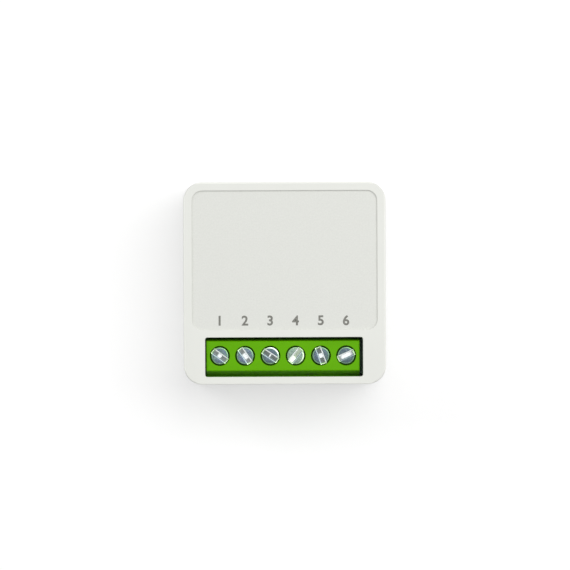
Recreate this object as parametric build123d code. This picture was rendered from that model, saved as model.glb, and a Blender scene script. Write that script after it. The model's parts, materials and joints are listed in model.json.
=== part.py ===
from build123d import *
import math
import os

# A flush-mounted smart relay module, lying with its label face up.
# Millimetres. +X runs along the terminal row, +Y away from it, +Z out of the label face.
# The origin is the middle of the housing's outline, on its underside.

# Casing
HOUSING_WIDTH = 40.0
HOUSING_DEPTH = 40.0
HOUSING_CORNER_RADIUS = 3.7
WALL = 1.5
FLOOR_THICKNESS = 1.4
ROOF_THICKNESS = 1.6
FACE_EDGE_RADIUS = 0.3
BASE_EDGE_RADIUS = 1.0
SEAM_CHAMFER = 0.2
RECESS_RIM_RADIUS = 0.12
WINDOW_RIM_RADIUS = 0.12
CUT_OVERRUN = 1.0

# Room above and below the board, which sets the housing's height
UNDER_BOARD_SPACE = 3.6
RELAY_STANDOFF = 0.1
ROOM_OVER_RELAY = 0.1

# Label recess in the face
RECESS_MARGIN = 1.7
RECESS_DEPTH = 0.35
RECESS_CORNER_RADIUS = 2.0
RECESS_TO_WINDOW = 1.5

# Snap joint between the two halves
TONGUE_HEIGHT = 1.95
TONGUE_THICKNESS = 1.0
TONGUE_CLEARANCE = 0.1
BOARD_SEAT_GAP = 0.05
SNAP_LENGTH = 7.0
SNAP_HEIGHT = 0.7
SNAP_REACH = 0.4
SNAP_ABOVE_SEAM = 0.6
SNAP_SPREAD_SHARE = 0.5
SNAP_CLEARANCE = 0.2

# Posts in the four corners that hold the board down
POST_RADIUS = 1.2
POST_INSET = 1.4

# Main board
BOARD_CLEARANCE = 0.3
BOARD_THICKNESS = 1.2
BOARD_CORNER_RADIUS = 2.0
LEAD_HOLE_CLEARANCE = 0.1
LEAD_TAIL = 1.6
ISOLATION_SLOT_WIDTH = 1.0
ISOLATION_SLOT_LENGTH = 9.0
ISOLATION_SLOT_RELAY_GAP = 0.5
SOLDER_HEIGHT = 0.9
SOLDER_COLLAR = 0.5
SOLDER_NECK = 0.12
SOLDER_GAP = 0.02

# Terminal block: six poles in one moulding
TERMINAL_END_ROOM = 3.35
TERMINAL_END_WALL = 0.15
TERMINAL_SHIFT = -0.39
TERMINAL_DEPTH = 7.5
TERMINAL_HEIGHT = 10.8
TERMINAL_EDGE_RADIUS = 0.25
FRONT_SLOPE_RUN = 1.1
FRONT_SLOPE_DROP = 5.0
FRONT_SHOULDER = 0.3
BACK_SLOPE_RUN = 0.55
BACK_SLOPE_DROP = 3.0
POLE_GROOVE = 0.35
SIDE_WINDOW_GAP_LEFT = 0.23
SIDE_WINDOW_GAP_RIGHT = 0.67
FRONT_WINDOW_GAP = 0.1
BACK_WINDOW_GAP = 0.2
WINDOW_CORNER_RADIUS = 0.45
FRONT_RELIEF_DEPTH = 0.3

# Wire entries in the block's front, and the slot in the casing that shows them
WIRE_ENTRY_RADIUS = 1.25
WIRE_FUNNEL_REACH = 0.6
WIRE_FUNNEL_DEPTH = 0.6
WIRE_SLOT_MARGIN = 0.5
WIRE_SLOT_SIDE_MARGIN = 0.2
WIRE_SLOT_CORNER_RADIUS = 0.6

# Pocket, clamp cage and contact of one pole
FRONT_WALL = 1.95
BACK_WALL = 0.5
POLE_SIDE_WALL = 0.4
CAGE_CLEARANCE = 0.1
CAGE_DEPTH = 4.0
CAGE_SIDE_WALL = 0.5
CAGE_FLOOR = 0.6
CAGE_ROOF = 1.2
CAGE_ABOVE_BOARD = 0.8
CAGE_CONTACT_GAP = 0.1
CONTACT_THICKNESS = 0.7
CONTACT_SIDE_GAP = 0.15
CONTACT_END_GAP = 0.1
WIRE_CHAMBER_HEIGHT = 2.6
CONTACT_LEG_WIDTH = 1.6
CONTACT_LEG_STANDOFF = 0.1
PIN_RADIUS = 0.5

# Clamp screw, M2.5 with a slotted cheese head
SCREW_RADIUS = 1.25
SCREW_PITCH = 0.45
THREAD_DEPTH = 0.24
THREAD_CREST_SHARES = (0.45, 0.55)
SCREW_TIP_CHAMFER = 0.3
SCREW_TIP_GAP = 0.05
SCREW_SEAT_GAP = 0.05
HEAD_RADIUS = 1.75
HEAD_HEIGHT = 1.4
HEAD_BELOW_TOP = 0.35
HEAD_EDGE_CHAMFER = 0.15
HEAD_WELL_RADIUS = 1.98
HEAD_WELL_CHAMFER = 0.04
HEAD_LEDGE = 0.6
SHANK_HOLE_CLEARANCE = 0.2
THREAD_CLEARANCE = 0.05
SLOT_WIDTH = 0.72
SLOT_DEPTH = 0.75
SLOT_TURNS_DEG = (-37.0, -55.0, -33.0, 51.0, -70.0, 24.0)

# Relay, lying on its side with its pins towards the terminal block
RELAY_LENGTH = 18.4
RELAY_THICKNESS = 10.0
RELAY_BACK_SHARE = 0.58
RELAY_SIDE_MARGIN = 0.6
RELAY_TERMINAL_GAP = 1.8
RELAY_COVER_WALL = 0.7
RELAY_COVER_EDGE = 0.5
RELAY_BASE_THICKNESS = 1.8
RELAY_BASE_FIT = 0.05
RELAY_BARRIER = 0.6
RELAY_BARRIER_GAP = 0.25
RELAY_BARRIER_SHORT = 3.0
YOKE_THICKNESS = 1.1
YOKE_WIDTH = 5.6
YOKE_SEAT_GAP = 0.05
BOBBIN_SIDE = 8.0
BOBBIN_FLANGE = 0.7
BOBBIN_TUBE_WALL = 0.7
BOBBIN_GAP = 0.15
CORE_RADIUS = 1.3
CORE_CLEARANCE = 0.05
ARMATURE_SWING_ROOM = 1.7
COIL_RIM_GAP = 0.25
POLE_HEAD_RADIUS = 2.8
POLE_HEAD_THICKNESS = 0.8
POLE_HEAD_GAP = 0.05
ARMATURE_THICKNESS = 1.0
ARMATURE_WIDTH = 6.0
ARMATURE_GAP = 0.05
ARMATURE_PAST_POLE = 0.6
ARMATURE_HEEL = 0.35
PIVOT_CLEARANCE = 0.05
ARMATURE_OPEN_DEG = 3.4
LEAF_THICKNESS = 0.25
LEAF_WIDTH = 4.0
LEAF_START = 1.4
LEAF_PAST_RIVET = 1.5
RIVET_RADIUS = 1.2
RIVET_THICKNESS = 1.0
RIVET_BACK_RADIUS = 0.8
RIVET_BACK_THICKNESS = 0.3
CONTACT_TOUCH_GAP = 0.04
RETURN_SPRING_THICKNESS = 0.25
RETURN_SPRING_WALL_GAP = 0.15
RETURN_SPRING_LIFT = 0.15
RETURN_SPRING_LENGTH = 5.0
RETURN_SPRING_OVER = 0.5
FIXED_PLATE_THICKNESS = 0.8
FIXED_PLATE_WIDTH = 4.0
FIXED_PLATE_WALL_GAP = 0.6
FIXED_RIVET_THICKNESS = 0.9
FIXED_LEDGE_PAST_RIVET = 0.3
COIL_PIN_RADIUS = 0.3
COIL_PIN_SPREAD = 3.2
COIL_PIN_HEIGHT = 0.6
RELAY_PIN_OUT = 0.75
PIN_BEND = 0.65

# Electrolytic capacitors: one lying for the mains side, one standing for the output
MAINS_CAP_RADIUS = 4.0
MAINS_CAP_RELAY_GAP = 3.4
MAINS_CAP_STANDOFF = 0.2
MAINS_CAP_LEAD_OUT = 1.0
MAINS_CAP_EDGE_MARGIN = 0.5
MAINS_CAP_LEAD_SPACING = 3.5
OUTPUT_CAP_RADIUS = 3.15
OUTPUT_CAP_LENGTH = 7.4
OUTPUT_CAP_STANDOFF = 0.2
OUTPUT_CAP_LEAD_SPACING = 2.5
CAP_WALL = 0.3
CAP_BUNG = 1.3
CAP_CRIMP = 0.25
CAP_CRIMP_BACK = 1.5
CAP_EDGE_RADIUS = 0.4
CAP_ROLL_GAP = 0.1
CAP_LEAD_RADIUS = 0.28

# Parts in the mains input
PART_ROW_GAP_SHARE = 0.1
PART_SIDE_GAP = 0.8
VARISTOR_RADIUS = 3.5
VARISTOR_THICKNESS = 3.6
VARISTOR_STANDOFF = 1.2
VARISTOR_RELAY_GAP = 2.25
VARISTOR_LEAD_SPACING = 5.0
VARISTOR_LEAD_RADIUS = 0.3
FUSE_RADIUS = 1.5
FUSE_LENGTH = 6.0
FUSE_CAP_LENGTH = 1.3
FUSE_CAP_STEP = 0.15
FUSE_STANDOFF = 0.3
FUSE_LEAD_RADIUS = 0.3
FUSE_LEAD_OUT = 1.0

# Drum choke
CHOKE_RADIUS = 3.0
CHOKE_HEIGHT = 7.5
CHOKE_FLANGE = 1.0
CHOKE_CORE_RADIUS = 1.4
CHOKE_WINDING_RIM = 0.3
CHOKE_STANDOFF = 0.1
CHOKE_EDGE_MARGIN = 1.4
CHOKE_LEAD_SPACING = 4.0
CHOKE_LEAD_RADIUS = 0.3

# Radio board, standing on the main board
RADIO_LENGTH = 12.0
RADIO_HEIGHT = 8.2
RADIO_THICKNESS = 0.8
RADIO_EDGE_MARGIN = 1.7
RADIO_RELAY_GAP = 0.8
RADIO_STANDOFF = 0.1
RADIO_PIN_COUNT = 5
RADIO_PIN_SPACING = 2.0
RADIO_PIN_RADIUS = 0.3
RADIO_PIN_FACE_GAP = 0.02
RADIO_PIN_UP = 2.8
RADIO_CHIP_HEIGHT = 0.9
RADIO_CHIP_SHARES = (0.32, 0.68)
CRYSTAL_LENGTH = 3.2
CRYSTAL_WIDTH = 2.5
CRYSTAL_HEIGHT = 0.8
CRYSTAL_CORNER_RADIUS = 0.4
CRYSTAL_SHARES = (0.8, 0.68)

# Aerial wound from one wire, with a leg through the board
AERIAL_RADIUS = 1.9
AERIAL_WIRE_RADIUS = 0.28
AERIAL_PITCH = 1.15
AERIAL_TURNS = 11
AERIAL_STANDOFF = 0.3
AERIAL_SIDE_MARGIN = 3.0
AERIAL_BACK_MARGIN = 0.4
GAP_SAMPLES_PER_TURN = 24

# Chips: body, then the gull-wing legs
SOP_WIDTH = 3.9
SOP_HEIGHT = 1.4
SOP_STANDOFF = 0.1
SOP8_LENGTH = 4.9
SOP16_LENGTH = 9.9
LEG_PITCH = 1.27
LEG_WIDTH = 0.4
LEG_THICKNESS = 0.2
LEG_REACH = 1.05
LEG_SHOULDER = 0.35
LEG_ROOT_HEIGHT_SHARE = 0.5
BRIDGE_LENGTH = 4.7
BRIDGE_WIDTH = 3.9
BRIDGE_HEIGHT = 2.3
BRIDGE_LEG_PITCH = 2.5
BRIDGE_LEG_WIDTH = 0.6
CHIP_EDGE_CHAMFER = 0.15
MCU_EDGE_MARGIN = 1.6
MCU_PLACE_SHARE = 0.35
POWER_CHIP_OFFSET = 1.1
BRIDGE_OFFSET = 0.5

# Small parts on the underside
DIODE_LENGTH = 4.3
DIODE_WIDTH = 2.6
DIODE_HEIGHT = 2.0
DIODE_EDGE_MARGIN = 2.9
DIODE_PLACE_SHARE = -0.57
DIODE_RELAY_GAP = 3.1
CHIP_PART_LENGTH = 2.0
CHIP_PART_WIDTH = 1.25
CHIP_PART_GAP = 0.4
CHIP_PART_ROW_GAP = 0.65
RESISTOR_HEIGHT = 0.5
RESISTOR_COUNT = 4
RESISTOR_ROW_SHARES = (-0.42, -0.74)
CERAMIC_HEIGHT = 0.9
CERAMIC_COUNT = 2
CERAMIC_ROWS = 3
LED_HEIGHT = 0.8
LED_SPACING = 6.0

# Learning button, its switch and the light guide
BUTTON_PLACE_SHARES = (-0.5, 0.74)
BUTTON_RADIUS = 2.0
BUTTON_HOLE_CLEARANCE = 0.1
BUTTON_RECESS = 0.3
BUTTON_EDGE_RADIUS = 0.2
BUTTON_FLANGE_RADIUS = 2.6
BUTTON_FLANGE_THICKNESS = 0.55
BUTTON_SEAT_GAP = 0.05
BUTTON_STEM_RADIUS = 1.2
GUIDE_CLEARANCE = 0.12
GUIDE_WALL = 0.8
GUIDE_HEIGHT = 1.3
SWITCH_SIDE = 4.5
SWITCH_HEIGHT = 1.6
SWITCH_FRAME = 0.4
SWITCH_CAVITY_RADIUS = 1.75
SWITCH_CAVITY_DEPTH = 0.95
PLUNGER_RADIUS = 1.0
PLUNGER_CLEARANCE = 0.06
PLUNGER_OUT = 0.4
PLUNGER_STEM_GAP = 0.02
PLUNGER_FLANGE_RADIUS = 1.5
PLUNGER_FLANGE_THICKNESS = 0.3
PLUNGER_NUB_RADIUS = 0.5
DOME_THICKNESS = 0.08
DOME_RISE = 0.25
DOME_RADIUS = 1.5
GUIDE_PIN_RADIUS = 1.0
GUIDE_PIN_FIT = 0.02
GUIDE_PIN_FLANGE = 0.5
GUIDE_PIN_FLANGE_THICKNESS = 0.5
GUIDE_PIN_LED_GAP = 0.3
GUIDE_PIN_DOME = 0.15

# Levels worked out from the stack
BOARD_BOTTOM = FLOOR_THICKNESS + UNDER_BOARD_SPACE
BOARD_TOP = BOARD_BOTTOM + BOARD_THICKNESS
RELAY_BOTTOM = BOARD_TOP + RELAY_STANDOFF
RELAY_TOP = RELAY_BOTTOM + RELAY_THICKNESS
ROOF_UNDERSIDE = RELAY_TOP + ROOM_OVER_RELAY
FACE_LEVEL = ROOF_UNDERSIDE + ROOF_THICKNESS
SEAM_LEVEL = BOARD_BOTTOM - BOARD_SEAT_GAP - TONGUE_HEIGHT
TAIL_END = BOARD_BOTTOM - LEAD_TAIL
TERMINAL_TOP = BOARD_TOP + TERMINAL_HEIGHT

# Half widths of the casing's outside, inside and board
HALF_WIDTH = HOUSING_WIDTH / 2
HALF_DEPTH = HOUSING_DEPTH / 2
INNER_HALF_WIDTH = HALF_WIDTH - WALL
INNER_HALF_DEPTH = HALF_DEPTH - WALL
INNER_CORNER_RADIUS = HOUSING_CORNER_RADIUS - WALL
BOARD_HALF_WIDTH = INNER_HALF_WIDTH - BOARD_CLEARANCE
BOARD_HALF_DEPTH = INNER_HALF_DEPTH - BOARD_CLEARANCE
TONGUE_INSIDE = INNER_HALF_WIDTH - TONGUE_CLEARANCE - TONGUE_THICKNESS

# Terminal block's footprint, and the window round it
POLE_COUNT = len(SLOT_TURNS_DEG)
TERMINAL_LENGTH = 2 * (INNER_HALF_WIDTH - TERMINAL_END_ROOM)
POLE_PITCH = (TERMINAL_LENGTH - 2 * TERMINAL_END_WALL) / POLE_COUNT
TERMINAL_LEFT = TERMINAL_SHIFT - TERMINAL_LENGTH / 2
FIRST_POLE_LEFT = TERMINAL_LEFT + TERMINAL_END_WALL
TERMINAL_RIGHT = TERMINAL_SHIFT + TERMINAL_LENGTH / 2
TERMINAL_FRONT = -INNER_HALF_DEPTH + FRONT_WINDOW_GAP
SHOULDER_FRONT = TERMINAL_FRONT - FRONT_SHOULDER
TERMINAL_BACK = TERMINAL_FRONT + TERMINAL_DEPTH
WINDOW_LEFT = TERMINAL_LEFT - SIDE_WINDOW_GAP_LEFT
WINDOW_RIGHT = TERMINAL_RIGHT + SIDE_WINDOW_GAP_RIGHT
WINDOW_FRONT = TERMINAL_FRONT - FRONT_WINDOW_GAP
WINDOW_BACK = TERMINAL_BACK + BACK_WINDOW_GAP
RECESS_FRONT = WINDOW_BACK + RECESS_TO_WINDOW

# One pole, front to back
POCKET_FRONT = TERMINAL_FRONT + FRONT_WALL
POCKET_BACK = TERMINAL_BACK - BACK_WALL
CAGE_FRONT = POCKET_FRONT + CAGE_CLEARANCE
CAGE_BACK = CAGE_FRONT + CAGE_DEPTH
SCREW_LINE = (CAGE_FRONT + CAGE_BACK) / 2
CAGE_WIDTH = POLE_PITCH - 2 * POLE_SIDE_WALL - 2 * CAGE_CLEARANCE
CAGE_BOTTOM = BOARD_TOP + CAGE_ABOVE_BOARD
CAGE_WINDOW_BOTTOM = CAGE_BOTTOM + CAGE_FLOOR
CONTACT_BOTTOM = CAGE_WINDOW_BOTTOM + WIRE_CHAMBER_HEIGHT
CONTACT_TOP = CONTACT_BOTTOM + CONTACT_THICKNESS
CAGE_WINDOW_TOP = CONTACT_TOP + CAGE_CONTACT_GAP
CAGE_TOP = CAGE_WINDOW_TOP + CAGE_ROOF
WIRE_AXIS = (CAGE_WINDOW_BOTTOM + CONTACT_BOTTOM) / 2
CONTACT_LEG_FRONT = CAGE_BACK + CONTACT_END_GAP
CONTACT_LEG_BACK = CONTACT_LEG_FRONT + CONTACT_THICKNESS
CONTACT_LINE = (CONTACT_LEG_FRONT + CONTACT_LEG_BACK) / 2
HEAD_TOP = TERMINAL_TOP - HEAD_BELOW_TOP
HEAD_BOTTOM = HEAD_TOP - HEAD_HEIGHT
LEDGE_TOP = HEAD_BOTTOM - SCREW_SEAT_GAP
LEDGE_BOTTOM = LEDGE_TOP - HEAD_LEDGE
SCREW_TIP = CONTACT_TOP + SCREW_TIP_GAP

# Relay's outside, then its mechanism from the pivot side to the contact side
RELAY_LEFT = -BOARD_HALF_WIDTH + RELAY_SIDE_MARGIN
RELAY_RIGHT = RELAY_LEFT + RELAY_LENGTH
RELAY_FRONT = TERMINAL_BACK + RELAY_TERMINAL_GAP
RELAY_BACK = TERMINAL_BACK + RELAY_BACK_SHARE * (BOARD_HALF_DEPTH - TERMINAL_BACK)
RELAY_MIDDLE = (RELAY_BOTTOM + RELAY_TOP) / 2
YOKE_LEFT = RELAY_LEFT + RELAY_COVER_WALL + RETURN_SPRING_WALL_GAP + RETURN_SPRING_THICKNESS
YOKE_RIGHT = YOKE_LEFT + YOKE_THICKNESS
BOBBIN_LEFT = YOKE_RIGHT + BOBBIN_GAP
CORE_LINE = BOBBIN_LEFT + BOBBIN_SIDE / 2
BARRIER_LEFT = BOBBIN_LEFT + BOBBIN_SIDE + RELAY_BARRIER_GAP
BARRIER_RIGHT = BARRIER_LEFT + RELAY_BARRIER
RELAY_INNER_RIGHT = RELAY_RIGHT - RELAY_COVER_WALL
RIVET_LINE = (BARRIER_RIGHT + RELAY_INNER_RIGHT) / 2
RELAY_BASE_BACK = RELAY_FRONT + RELAY_BASE_THICKNESS
FOOT_FRONT = RELAY_BASE_BACK + YOKE_SEAT_GAP
FOOT_BACK = FOOT_FRONT + YOKE_THICKNESS
BOBBIN_FRONT = FOOT_BACK + YOKE_SEAT_GAP
COIL_FRONT = BOBBIN_FRONT + BOBBIN_FLANGE
ARMATURE_BACK = RELAY_BACK - RELAY_COVER_WALL - ARMATURE_SWING_ROOM
ARMATURE_FRONT = ARMATURE_BACK - ARMATURE_THICKNESS
POLE_HEAD_BACK = ARMATURE_FRONT - ARMATURE_GAP
POLE_HEAD_FRONT = POLE_HEAD_BACK - POLE_HEAD_THICKNESS
BOBBIN_BACK = POLE_HEAD_FRONT - POLE_HEAD_GAP
COIL_BACK = BOBBIN_BACK - BOBBIN_FLANGE
PIVOT_X = (YOKE_LEFT + YOKE_RIGHT) / 2
PIVOT_Y = POLE_HEAD_BACK
YOKE_TIP_RADIUS = YOKE_THICKNESS / 2
LEAF_BACK = ARMATURE_BACK + LEAF_THICKNESS
FIXED_CONTACT_BACK = ARMATURE_BACK - RIVET_THICKNESS - CONTACT_TOUCH_GAP
FIXED_LEDGE_BACK = FIXED_CONTACT_BACK - FIXED_RIVET_THICKNESS
FIXED_PLATE_RIGHT = RELAY_INNER_RIGHT - FIXED_PLATE_WALL_GAP
RELAY_PIN_LINE = RELAY_FRONT - RELAY_PIN_OUT
YOKE_PIN_X = CORE_LINE
FIXED_PIN_X = FIXED_PLATE_RIGHT - FIXED_PLATE_THICKNESS / 2

# Rows of parts on the right of the board, from the terminal block backwards
ROW_DEPTHS = VARISTOR_THICKNESS + 2 * (FUSE_RADIUS + MAINS_CAP_RADIUS + CHOKE_RADIUS)
PART_ROW_GAP = PART_ROW_GAP_SHARE * (BOARD_HALF_DEPTH - TERMINAL_BACK - ROW_DEPTHS)
VARISTOR_FRONT = TERMINAL_BACK + PART_ROW_GAP
VARISTOR_BACK = VARISTOR_FRONT + VARISTOR_THICKNESS
VARISTOR_X = RELAY_RIGHT + VARISTOR_RELAY_GAP + VARISTOR_RADIUS
FUSE_Y = VARISTOR_BACK + PART_ROW_GAP + FUSE_RADIUS
FUSE_X = (RELAY_RIGHT + TONGUE_INSIDE) / 2
MAINS_CAP_Y = FUSE_Y + FUSE_RADIUS + PART_ROW_GAP + MAINS_CAP_RADIUS
MAINS_CAP_RIGHT = BOARD_HALF_WIDTH - MAINS_CAP_EDGE_MARGIN
MAINS_CAP_LEAD_X = RELAY_RIGHT + MAINS_CAP_RELAY_GAP
MAINS_CAP_LEFT = MAINS_CAP_LEAD_X + MAINS_CAP_LEAD_OUT
CHOKE_X = BOARD_HALF_WIDTH - CHOKE_EDGE_MARGIN - CHOKE_RADIUS
CHOKE_Y = MAINS_CAP_Y + MAINS_CAP_RADIUS + PART_ROW_GAP + CHOKE_RADIUS
OUTPUT_CAP_X = CHOKE_X - CHOKE_RADIUS - PART_SIDE_GAP - OUTPUT_CAP_RADIUS
OUTPUT_CAP_Y = MAINS_CAP_Y + MAINS_CAP_RADIUS + PART_ROW_GAP + OUTPUT_CAP_RADIUS
ISOLATION_SLOT_X = RELAY_RIGHT + ISOLATION_SLOT_RELAY_GAP + ISOLATION_SLOT_WIDTH / 2

# Radio board and aerial behind the relay
RADIO_LEFT = -BOARD_HALF_WIDTH + RADIO_EDGE_MARGIN
RADIO_FRONT = RELAY_BACK + RADIO_RELAY_GAP
RADIO_BACK = RADIO_FRONT + RADIO_THICKNESS
RADIO_BOTTOM = BOARD_TOP + RADIO_STANDOFF
RADIO_PIN_Y = RADIO_BACK + RADIO_PIN_FACE_GAP + RADIO_PIN_RADIUS
AERIAL_Y = BOARD_HALF_DEPTH - AERIAL_BACK_MARGIN - AERIAL_RADIUS - AERIAL_WIRE_RADIUS
AERIAL_Z = BOARD_TOP + AERIAL_STANDOFF + AERIAL_RADIUS + AERIAL_WIRE_RADIUS
AERIAL_LEFT = -BOARD_HALF_WIDTH + AERIAL_SIDE_MARGIN

# Button and light guide, under the board
BUTTON_X = BUTTON_PLACE_SHARES[0] * BOARD_HALF_WIDTH
BUTTON_Y = BUTTON_PLACE_SHARES[1] * BOARD_HALF_DEPTH
LED_X = BUTTON_X + LED_SPACING
LED_Y = BUTTON_Y
SWITCH_BOTTOM = BOARD_BOTTOM - SWITCH_HEIGHT
PLUNGER_TIP = SWITCH_BOTTOM - PLUNGER_OUT
BUTTON_FLANGE_BOTTOM = FLOOR_THICKNESS + BUTTON_SEAT_GAP
BUTTON_FLANGE_TOP = BUTTON_FLANGE_BOTTOM + BUTTON_FLANGE_THICKNESS

# Chips and small parts under the board: most lie below the relay, where no lead comes through
UNDER_RELAY_Y = (RELAY_FRONT + RELAY_BACK) / 2
UNDER_RELAY_HALF = (RELAY_BACK - RELAY_FRONT) / 2
MCU_X = -BOARD_HALF_WIDTH + MCU_EDGE_MARGIN + SOP16_LENGTH / 2
MCU_Y = UNDER_RELAY_Y + MCU_PLACE_SHARE * UNDER_RELAY_HALF
POWER_CHIP_X = (MAINS_CAP_LEAD_X + BOARD_HALF_WIDTH) / 2
FRONT_DIODE_X = -BOARD_HALF_WIDTH + DIODE_EDGE_MARGIN + DIODE_LENGTH / 2
FRONT_DIODE_Y = UNDER_RELAY_Y + DIODE_PLACE_SHARE * UNDER_RELAY_HALF
BACK_DIODE_RIGHT = OUTPUT_CAP_X - OUTPUT_CAP_LEAD_SPACING / 2 - CAP_LEAD_RADIUS - SOLDER_COLLAR
BACK_DIODE_X = BACK_DIODE_RIGHT - PART_SIDE_GAP - DIODE_LENGTH / 2
BACK_DIODE_Y = RELAY_BACK + DIODE_RELAY_GAP + DIODE_WIDTH / 2
CHIP_PART_PITCH = CHIP_PART_LENGTH + CHIP_PART_GAP
CHIP_PART_ROW_PITCH = CHIP_PART_WIDTH + CHIP_PART_ROW_GAP
FIRST_RESISTOR_X = FRONT_DIODE_X + (DIODE_LENGTH + CHIP_PART_LENGTH) / 2 + PART_SIDE_GAP
FIRST_CERAMIC_X = MCU_X + (SOP16_LENGTH + CHIP_PART_LENGTH) / 2 + PART_SIDE_GAP
FIRST_CERAMIC_Y = MCU_Y - (CERAMIC_ROWS - 1) * CHIP_PART_ROW_PITCH / 2


def span_box(x0, x1, y0, y1, z0, z1):
    """A box between six planes."""
    return Pos((x0 + x1) / 2, (y0 + y1) / 2, (z0 + z1) / 2) * Box(x1 - x0, y1 - y0, z1 - z0)


def rounded_slab(x0, x1, y0, y1, z0, z1, radius):
    """A slab between six planes, with its upright edges rounded."""
    outline = RectangleRounded(x1 - x0, y1 - y0, radius)
    return Pos((x0 + x1) / 2, (y0 + y1) / 2, z0) * extrude(outline, z1 - z0)


def rod(start, end, radius):
    """A round rod from one point to another."""
    line = Vector(*end) - Vector(*start)
    return Solid.make_cylinder(radius, line.length, Plane(origin=start, z_dir=line))


def upright(x, y, z0, z1, radius):
    """A round rod that stands along Z."""
    return rod((x, y, z0), (x, y, z1), radius)


def bent_wire(points, radius, bend):
    """A round wire along straight runs that are joined by equal arcs."""
    path = FilletPolyline(*points, radius=bend)
    return sweep(Plane(origin=path @ 0, z_dir=path % 0) * Circle(radius), path=path)


def turned(profile_points):
    """A solid of revolution about Z from (radius, height) points."""
    outline = Polyline(*[(r, 0, z) for r, z in profile_points], close=True)
    return revolve(make_face(outline), Axis.Z)


def write(name, *solids):
    """Writes one node: a single solid, or several as a group."""
    shapes = [piece for shape in solids for piece in shape.solids()]
    export_step(shapes[0] if len(shapes) == 1 else Compound(children=shapes), f"parts/{name}.step")


def pole_x(pole):
    """The centre of a pole, counted from 0 on the left."""
    return FIRST_POLE_LEFT + (pole + 0.5) * POLE_PITCH


def snap_places():
    """Centre, direction and side of each snap: two on each side wall, one on the back wall."""
    offset = SNAP_SPREAD_SHARE * INNER_HALF_DEPTH
    sides = [(side, y) for side in (-1, 1) for y in (-offset, offset)]
    return [("side", side, y) for side, y in sides] + [("back", 1, 0.0)]


def snap_block(kind, side, centre, reach_in, reach_out, grow):
    """A snap ridge, or with grow the pocket that takes it, on one wall's inner face."""
    low = SEAM_LEVEL + SNAP_ABOVE_SEAM - grow
    high = SEAM_LEVEL + SNAP_ABOVE_SEAM + SNAP_HEIGHT + grow
    half = SNAP_LENGTH / 2 + grow
    if kind == "back":
        return span_box(-half, half, INNER_HALF_DEPTH - reach_in, INNER_HALF_DEPTH + reach_out, low, high)
    across = sorted((side * (INNER_HALF_WIDTH - reach_in), side * (INNER_HALF_WIDTH + reach_out)))
    return span_box(*across, centre - half, centre + half, low, high)


def label_shell():
    """Deep half of the casing: label face, terminal window, wire slot and board posts. The front wall is
    relieved inside, so that the terminal block's shoulder slides up behind it and under the roof's edge."""
    shell = rounded_slab(
        -HALF_WIDTH, HALF_WIDTH, -HALF_DEPTH, HALF_DEPTH, SEAM_LEVEL, FACE_LEVEL, HOUSING_CORNER_RADIUS
    )
    shell = fillet(shell.edges().group_by(Axis.Z)[-1], FACE_EDGE_RADIUS)
    shell = chamfer(shell.edges().group_by(Axis.Z)[0], SEAM_CHAMFER)
    shell -= rounded_slab(
        -INNER_HALF_WIDTH, INNER_HALF_WIDTH, -INNER_HALF_DEPTH, INNER_HALF_DEPTH,
        SEAM_LEVEL - CUT_OVERRUN, ROOF_UNDERSIDE, INNER_CORNER_RADIUS,
    )
    for x in (POST_INSET - INNER_HALF_WIDTH, INNER_HALF_WIDTH - POST_INSET):
        for y in (POST_INSET - INNER_HALF_DEPTH, INNER_HALF_DEPTH - POST_INSET):
            shell += upright(
                x, y, BOARD_TOP + BOARD_SEAT_GAP, FACE_LEVEL - ROOF_THICKNESS / 2, POST_RADIUS
            )
    shell -= rounded_slab(
        -HALF_WIDTH + RECESS_MARGIN, HALF_WIDTH - RECESS_MARGIN, RECESS_FRONT, HALF_DEPTH - RECESS_MARGIN,
        FACE_LEVEL - RECESS_DEPTH, FACE_LEVEL + CUT_OVERRUN, RECESS_CORNER_RADIUS,
    )
    shell -= rounded_slab(
        WINDOW_LEFT, WINDOW_RIGHT, WINDOW_FRONT, WINDOW_BACK,
        ROOF_UNDERSIDE - CUT_OVERRUN, FACE_LEVEL + CUT_OVERRUN, WINDOW_CORNER_RADIUS,
    )
    shell = round_rims(shell)
    shell -= wire_slot()
    shell -= span_box(
        TERMINAL_LEFT - WIRE_SLOT_SIDE_MARGIN, TERMINAL_RIGHT + WIRE_SLOT_SIDE_MARGIN,
        -INNER_HALF_DEPTH - FRONT_RELIEF_DEPTH, -INNER_HALF_DEPTH + CUT_OVERRUN,
        SEAM_LEVEL - CUT_OVERRUN, ROOF_UNDERSIDE,
    )
    for kind, side, centre in snap_places():
        shell -= snap_block(kind, side, centre, CUT_OVERRUN, SNAP_REACH, SNAP_CLEARANCE)
    return shell


def round_rims(shell):
    """Rounds the face's edge all round the label recess and the terminal window."""
    for radius, behind in ((RECESS_RIM_RADIUS, True), (WINDOW_RIM_RADIUS, False)):
        face = shell.faces().sort_by(Axis.Z)[-1]
        rims = [wire for wire in face.inner_wires() if (wire.bounding_box().min.Y > WINDOW_BACK) == behind]
        shell = fillet(rims[0].edges(), radius)
    return shell


def wire_slot():
    """The opening in the front wall that the six wire entries show through."""
    length = TERMINAL_LENGTH + 2 * WIRE_SLOT_SIDE_MARGIN
    height = 2 * (WIRE_ENTRY_RADIUS + WIRE_FUNNEL_REACH + WIRE_SLOT_MARGIN)
    start = (TERMINAL_SHIFT, -HALF_DEPTH - CUT_OVERRUN, WIRE_AXIS)
    outline = Plane(origin=start, x_dir=(1, 0, 0), z_dir=(0, 1, 0)) * RectangleRounded(
        length, height, WIRE_SLOT_CORNER_RADIUS
    )
    return extrude(outline, CUT_OVERRUN + WALL + FRONT_WINDOW_GAP / 2)


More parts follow.
